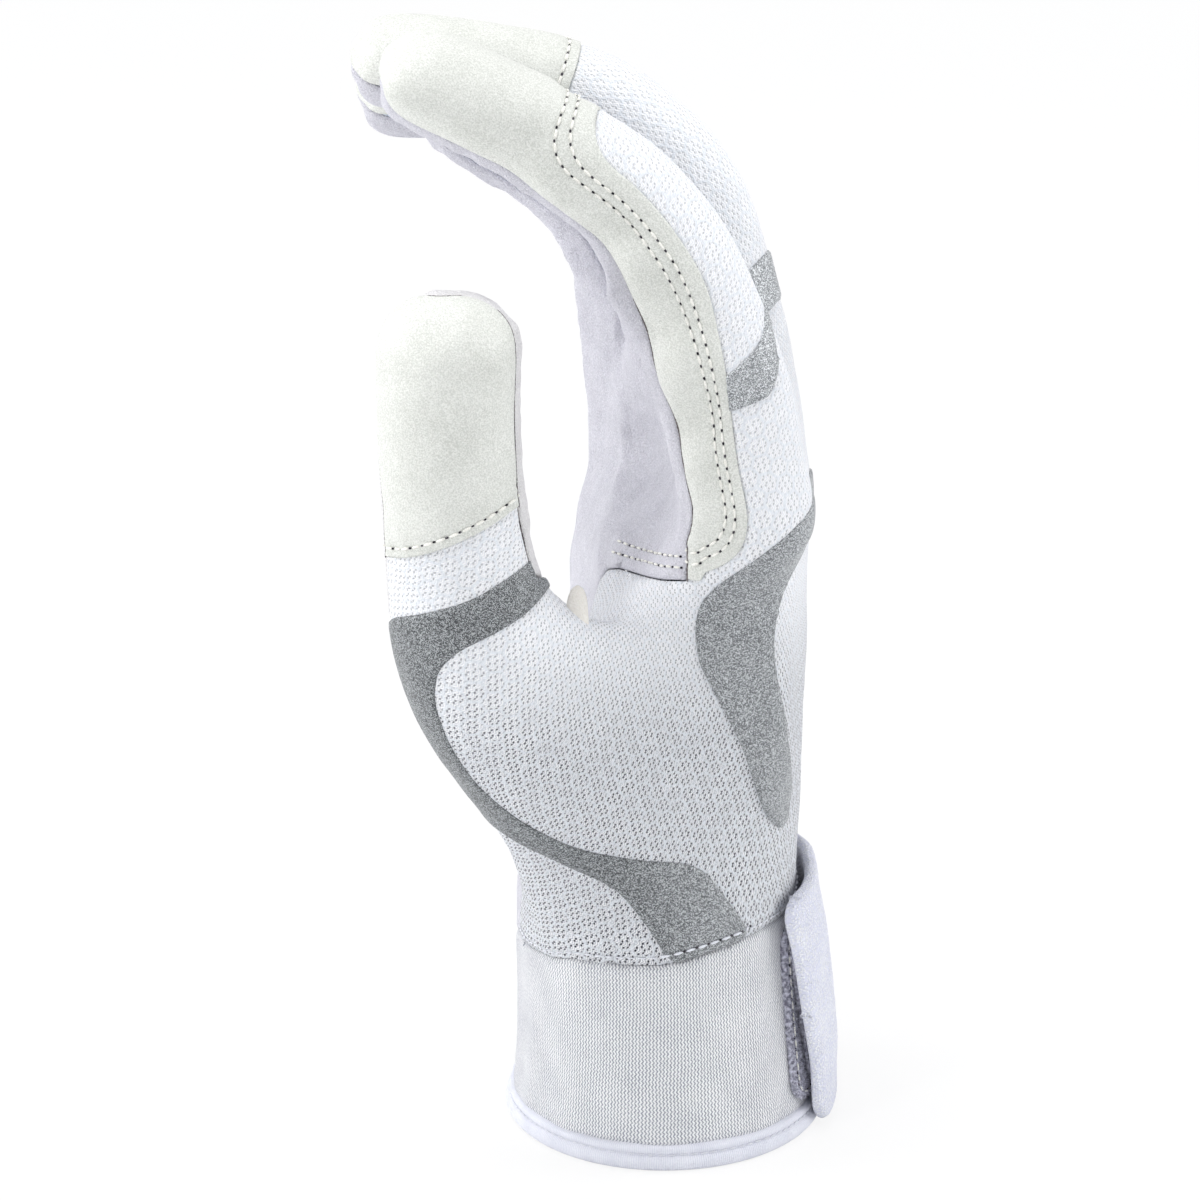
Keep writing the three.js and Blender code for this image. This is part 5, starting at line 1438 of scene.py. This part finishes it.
tape_finish = finish("binding_tape", tape_paint, Roughness=0.8, Specular_IOR_Level=0.25, Sheen_Weight=0.2)
profile = corners_cut(np.array(binding_profile, float), profile_cut)
half_depth, half_width = sections[0]["back"] * mouth_depth, sections[0]["little_side"] * palm_width
first_turn, last_turn = (math.asin((vent_side + side * vent_width / 2) / half_width) for side in (1, -1))
turns = np.linspace(first_turn, last_turn + 2 * math.pi, binding_steps + 1)
out = np.stack([np.cos(turns) / half_depth, np.sin(turns) / half_width, turns * 0], 1)
out /= np.linalg.norm(out, axis=1, keepdims=True)
base = np.stack([np.cos(turns) * half_depth, np.sin(turns) * half_width, turns * 0], 1)
steps, corners = len(turns), len(profile)
rings_of_tape = base[:, None] + out[:, None] * profile[:, :1] + np.array([0, 0, 1]) * profile[:, 1:]
wobble = noise_at(rings_of_tape.reshape(-1, 3), wobble_width, wobble_seed).reshape(steps, corners, 1)
upright = np.clip(profile[:, 1:] / binding_lip, 0, 1)
rings_of_tape += wobble * wobble_out * upright * out[:, None] + wobble * wobble_up * upright * (0, 0, 1)
tape_points = rings_of_tape.reshape(-1, 3)
at = np.arange(steps * corners).reshape(steps, corners)
after = np.roll(at, -1, 1)
tape_faces = np.stack([at[:-1], at[1:], after[1:], after[:-1]], -1).reshape(-1, 4)
arc = np.concatenate([[0], np.cumsum(np.linalg.norm(np.diff(base, axis=0), axis=1))])
girth = np.concatenate([[0], np.cumsum(np.linalg.norm(np.diff(profile, axis=0), axis=1))])
flat = np.stack(np.meshgrid(arc, girth, indexing="ij"), -1).reshape(-1, 2)
tape = add_mesh("folded_binding", tape_points, tape_faces, flat[tape_faces])
closed = bmesh.new()
closed.from_mesh(tape.data)
bmesh.ops.holes_fill(closed, edges=[edge for edge in closed.edges if edge.is_boundary])
bmesh.ops.triangulate(closed, faces=[face for face in closed.faces if len(face.verts) > 4])
bmesh.ops.recalc_face_normals(closed, faces=closed.faces)
closed.to_mesh(tape.data)
closed.free()
dress(tape, tape_finish, "cuff_binding", "glove", "hem_binding")
groove = np.argmin(np.abs(profile[:, 1] - binding_groove) - (profile[:, 0] > -1) * 99)
binding_row = np.hstack([rings_of_tape[4:-4, groove], out[4:-4]])
stitched("binding_stitches", [binding_row], "cuff_binding", binding_stitch_pitch, (1.5, 0.3, 0.26),
         holes=False, thread=white_thread_finish)

# Hook and loop. A patch of loop tape is sewn to the back of the cuff with a row of stitches round its
# edge, and the hook tape that grips it is sewn inside the strap. Both are fuzzy along their edges.
patch_thickness, patch_round, patch_rim = 0.9, 4, (1, 0.5)
loop_patch_turns, loop_patch_heights = (-37, 10), (6.5, 40)
hook_patch_turns, hook_patch_heights, strap_lean = (-31, 6), (8, 39), 0.15
patch_row, patch_stitch_pitch, patch_stitch_size = 1.3, 2.2, (1.7, 0.4, 0.3)
wrist_top = 50
loop_outside = layer_gap + patch_thickness
hook_inside = loop_outside + layer_gap
hook_outside = hook_inside + patch_thickness
pile_density, pile_length, pile_width, bristle_lean = 4, 1.1, 0.16, 0.9


def finer(sheet):
    """Splits every triangle into four, with the channels halfway between at each new point."""
    points, faces = compact(sheet)
    ends = np.sort(faces[:, [0, 1, 1, 2, 2, 0]].reshape(-1, 2), 1)
    keys, of = np.unique(ends[:, 0] * len(points) + ends[:, 1], return_inverse=True)
    of = of.reshape(-1, 3) + len(points)
    points = np.vstack([points, (points[keys // len(points)] + points[keys % len(points)]) / 2])
    a, b, c = faces.T
    ab, bc, ca = of.T
    faces = np.stack([np.stack([a, ab, ca], 1), np.stack([b, bc, ab], 1), np.stack([c, ca, bc], 1), of], 1)
    return points, faces.reshape(-1, 3), np.repeat(sheet[2], 4)


def wrist_patch(skin, turns, heights, left_round, right_round, lean=0):
    """A rounded patch of the skin round the back of the cuff, between two turns and two heights."""
    first, high = (math.radians(turn) * mouth_depth / 2 for turn in turns)

    def field(p, region):
        way = np.arctan2(p[..., Y], p[..., X]) * mouth_depth / 2
        low = first - lean * (p[..., Z] - sum(heights) / 2)
        size = np.where(way < (low + high) / 2, left_round, right_round)
        across = np.abs(way - (low + high) / 2) - (high - low) / 2 + size
        up = np.abs(p[..., Z] - sum(heights) / 2) - (heights[1] - heights[0]) / 2 + size
        corner = np.hypot(np.maximum(across, 0), np.maximum(up, 0))
        return size - np.minimum(np.maximum(across, up), 0) - corner

    return pieces_of(keep(skin, field))[0], field


def pile_tree():
    """Nodes that stand short bristles over a cloth, leaning every way."""
    tree, (cloth, density, length, width, seed, material) = node_tree(
        "pile", Cloth="Geometry", Density="Float", Length="Float", Width="Float", Seed="Int",
        Finish="Material")
    points = cloth.node("GeometryNodeDistributePointsOnFaces", None,
                        {"Mesh": cloth, "Density": density, "Seed": seed})
    normal = Wire(tree, points.socket.node.outputs["Normal"])
    lean = seed.node("FunctionNodeRandomValue", {"data_type": "FLOAT_VECTOR"},
                     {0: (-bristle_lean,) * 3, 1: (bristle_lean,) * 3, "Seed": seed})
    turn = normal.node("FunctionNodeAlignRotationToVector", {"axis": "Z"},
                       {"Vector": normal.vector("ADD", normal, lean)})
    bristle = width.node("GeometryNodeMeshCone", None,
                         {"Vertices": 4, "Radius Top": 0.0, "Radius Bottom": width, "Depth": length})
    lay(tree, points, bristle, turn, material)
    return tree


def pile_paint(start):
    place = start.place()
    tuft = place.noise(0.7 * mm, 3)
    return {"Base Color": tuft.step(0.3, 0.75).mix(linear(112, 111, 126), linear(222, 222, 236)),
            "Normal": start.bump(tuft * 0.3, 0.8)}


pile_finish = finish("hook_and_loop", pile_paint, Roughness=0.9, Specular_IOR_Level=0.2, Sheen_Weight=0.3)
pile = pile_tree()


def fuzzy(name, panel, slot, body, seed):
    source = add_mesh(name + "_base", panel["outer"], panel["faces"])
    piece = grown(name, source, pile, Density=pile_density / mm ** 2, Length=pile_length * mm,
                  Width=pile_width / 2 * mm, Seed=seed, Finish=pile_finish)
    enter(piece, slot, body)


wrist_skin = region_of(skins[fine_level], "hand")
wrist_skin = keep(wrist_skin, lambda p, region: p[..., X] + p[..., Y] * math.sqrt(0.5))
wrist_skin = keep(wrist_skin, lambda p, region: wrist_top - p[..., Z])
wrist_skin = (np.hstack([wrist_skin[0][:, :EDGE], np.full((len(wrist_skin[0]), 1), 99.0)]), *wrist_skin[1:])
for name, turns, heights, lean, low, high, body, node, seed in (
        ("loop_tape", loop_patch_turns, loop_patch_heights, 0, 0.1, loop_outside, "glove",
         "cuff_loop_patch", 3),
        ("hook_tape", hook_patch_turns, hook_patch_heights, strap_lean, hook_inside, hook_outside, "strap",
         "strap_hook_patch", 4)):
    sheet, field = wrist_patch(wrist_skin, turns, heights, patch_round, patch_round, lean)
    panel = shell(sheet, low, high, 0, patch_rim)
    dress(add_mesh(name, *panel["solid"]), pile_finish, "hook_tape", body, node)
    fuzzy(name + "_pile", panel, "hook_tape", body, seed)
    if name == "loop_tape":
        found = contour(panel, field, patch_row)
        stitched("loop_tape_stitches", found, "hook_tape", patch_stitch_pitch, patch_stitch_size)

# The strap. A wide tab of padded terry laminate is sewn to the little-finger side of the cuff, comes
# round the back over the slit, and ends in a rounded tip that the hook tape holds to the loop tape.
strap_end_turn, strap_root_turn = -35, 82
strap_thickness, strap_foot, strap_top, strap_round, strap_root_inset = 2.6, 0.7, 46.8, 5, 5
strap_settle_turn, fold_reach = 26, 4
strap_edge_draw, strap_edge_heights, strap_edge_turns = 1.3, (8, 23), (-30, -10)
strap_root_row, strap_root_half = 5, 19
strap_puff = (0.25, 9, 16), (0.1, 1.1, 17)
strap_rim, strap_under_rim = (2.2, 1.5), 0.9
strap_inside = hook_outside + layer_gap
draw_in = ((section_shares[0][2] - section_shares[1][2]) * mouth_depth
           / ((section_shares[1][0] - section_shares[0][0]) * fork_height))
strap_root = binding_outside + draw_in * binding_height + 2 * layer_gap


def terry_paint(start):
    place = start.place()
    loops = place.cells(0.5 * mm).step(0.75, 0.1)
    lint = place.noise(0.3 * mm, 3, 0.6)
    soft = place.noise(6 * mm, 3)
    shade = (loops * 0.45 + lint * 0.35 + soft * 0.45).step(0.2, 0.95)
    return {"Base Color": shade.mix(linear(216, 218, 236), linear(250, 251, 255)),
            "Normal": start.bump(loops * 0.25 + lint * 0.2, 0.9)}


terry_finish = finish("terry_laminate", terry_paint, Roughness=0.9, Specular_IOR_Level=0.2, Sheen_Weight=0.35,
                      Sheen_Roughness=0.4)
strap_sheet = wrist_patch(finer(wrist_skin), (strap_end_turn, strap_root_turn), (strap_foot, strap_top),
                          strap_round, strap_root_inset, strap_lean)[0]
p = points_of(strap_sheet)
turned = np.degrees(np.arctan2(p[:, Y], p[:, X]))
settled_share = smoothstep(turned, loop_patch_turns[1], loop_patch_turns[1] + strap_settle_turn)
strap_low = strap_inside + (strap_root - strap_inside) * settled_share
strap_middle = (strap_foot + strap_top) / 2
settled_edge = smoothstep(np.abs(p[:, Z] - strap_middle), *strap_edge_heights)
strap_low = strap_low - strap_edge_draw * (settled_edge * smoothstep(-turned, *strap_edge_turns))
strap_panel = shell(strap_sheet, strap_low, strap_low + strap_thickness, waves(p, strap_puff), strap_rim,
                    strap_under_rim)
strap = add_mesh("terry_strap", *strap_panel["solid"])
strap.data.materials.append(terry_finish)
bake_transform(strap)
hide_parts("strap", "strap_anchor")
root_line = contour(strap_panel, lambda p, region: strap_root_turn - np.degrees(
    np.arctan2(p[..., Y], p[..., X])), strap_root_row)
root_line = [line[np.abs(line[:, Z] - strap_middle) < strap_root_half] for line in root_line]
stitched("strap_root_stitches", root_line, "strap_terry")

# The tab in the web. A small tongue of beige leather stands up in the fork between thumb and palm,
# its foot caught in the seam where the knit, the palm hide and the thumb's lining meet.
tab_foot, tab_top = np.array([-16, -41, 106.5]), np.array([-15.8, -38.5, 115])
tab_width, tab_thickness, tab_rings, tab_sides = 4.6, 1.5, 18, 28
tab_taper, tab_corner, tab_end_share = 0.25, 0.7, 0.995
tab_finish = finish("beige_leather", hide(linear(254, 251, 245), linear(240, 235, 226), 0.5),
                    Specular_IOR_Level=0.35)
share = np.linspace(0, tab_end_share, tab_rings)[:, None]
round_turn = np.linspace(0, 2 * np.pi, tab_sides, endpoint=False)
swell = np.sqrt(1 - share ** 6)
tab_points = tab_foot + share[..., None] * (tab_top - tab_foot) + np.stack([
    tab_width / 2 * (1 - tab_taper * share) * swell * np.sign(np.cos(round_turn))
    * np.abs(np.cos(round_turn)) ** tab_corner,
    tab_thickness / 2 * swell * np.sin(round_turn), 0 * share * round_turn], axis=-1)
tab_faces = []
for side in range(tab_sides):
    after, top_ring = (side + 1) % tab_sides, (tab_rings - 1) * tab_sides
    for low_ring in range(0, top_ring, tab_sides):
        high_ring = low_ring + tab_sides
        tab_faces += [(low_ring + side, low_ring + after, high_ring + after),
                      (low_ring + side, high_ring + after, high_ring + side)]
    if 0 < side < tab_sides - 1:
        tab_faces += [(0, after, side), (top_ring, top_ring + side, top_ring + after)]
dress(add_mesh("web_tab", tab_points.reshape(-1, 3), np.array(tab_faces)), tab_finish, "palm_leather",
      "glove")

# The hems. White stitches hold the palm hide's hem over the web, the film's end above the cuff, and
# the knit where it is turned in along the cuff seam.
hem_rows, cuff_hem_row, film_hem_row = (2.4, 4.4), 1.7, 2.1
hem_stitch_pitch, hem_half_length, hem_behind = 2.3, 10.5, -8
hem_lines = []
for row in hem_rows:
    for line in contour(palm_panel, lambda p, region: above_hem(p), row):
        along_hem = np.abs(line[:, X] - (hem_left[0] + hem_right[0]) / 2) < hem_half_length
        near = along_hem & (line[:, Y] < hem_behind) & (line[:, 3 + Y] < 0.3)
        if near.sum() > 8:
            hem_lines.append(line[near])
stitched("palm_hem_stitches", hem_lines, "palm_leather", hem_stitch_pitch, (1.7, 0.5, 0.5))
stitched("film_hem_stitches", contour(bands["thumb_band"], cuff_line, film_hem_row), "silver_overlay",
         hem_stitch_pitch, (1.9, 0.5, 0.46), thread=white_thread_finish)
stitched("cuff_seam_stitches", contour(knit_panel, cuff_line, cuff_hem_row), "mesh_knit", 2,
         (1.6, 0.36, 0.3), holes=False, thread=white_thread_finish)

# Studio. A white floor, a soft box on each side and one overhead, a weak one in front and
# the even light of a white room. The camera sees white behind everything.
floor_half = 1.5
world = bpy.data.worlds.new("studio")
scene.world = world
world.use_nodes = True
tree = world.node_tree
tree.nodes["Background"].inputs["Strength"].default_value = 1
seen = Wire(tree).node("ShaderNodeLightPath")
glossy, through = (Wire(tree, seen.socket.node.outputs[ray])
                   for ray in ("Is Glossy Ray", "Is Transmission Ray"))
shown = seen.math("MAXIMUM", seen.math("MAXIMUM", seen, through), glossy * 0.9)
sky = shown.mix((0.42, 0.43, 0.45, 1), (1, 1, 1, 1))
tree.links.new(sky.socket, tree.nodes["Background"].inputs["Color"])


def floor_paint(start):
    place = start.place()
    return {"Base Color": place.noise(0.2).mix((0.93, 0.93, 0.93, 1), (0.95, 0.95, 0.95, 1))}


floor_finish = finish("paper_floor", floor_paint, Roughness=0.9)
tree = floor_finish.node_tree
shader = tree.nodes["Principled BSDF"]
white = Wire(tree).node("ShaderNodeEmission", None, {"Color": (1, 1, 1, 1), "Strength": 1.0})
seen = Wire(tree).node("ShaderNodeLightPath")
lit = Wire(tree, shader.outputs[0])
blend_in = white.node("ShaderNodeMixShader", None, {0: seen * 0.84, 1: lit, 2: white})
tree.links.new(blend_in.socket, tree.nodes["Material Output"].inputs["Surface"])
floor = bpy.data.meshes.new("floor")
floor.from_pydata([(x * floor_half, y * floor_half, 0) for x, y in ((-1, -1), (1, -1), (1, 1), (-1, 1))],
                  [], [(0, 1, 2, 3)])
floor = bpy.data.objects.new("floor", floor)
floor.data.materials.append(floor_finish)
scene.collection.objects.link(floor)

for name, place, size, watts in (
        ("left_box", (-1.2, 0.2, 0.5), 0.7, 6.5), ("key_box", (-0.9, -1.15, 0.8), 0.5, 6),
        ("right_box", (1.2, 0.1, 0.5), 0.9, 8), ("top_box", (-0.2, -0.1, 1.4), 0.6, 10.5)):
    lamp = bpy.data.objects.new(name, bpy.data.lights.new(name, "AREA"))
    lamp.data.shape, lamp.data.size, lamp.data.energy = "DISK", size, watts
    lamp.location = place
    lamp.rotation_euler = (Vector(place) - aim).to_track_quat("Z", "Y").to_euler()
    scene.collection.objects.link(lamp)

scene.view_settings.view_transform = "Standard"
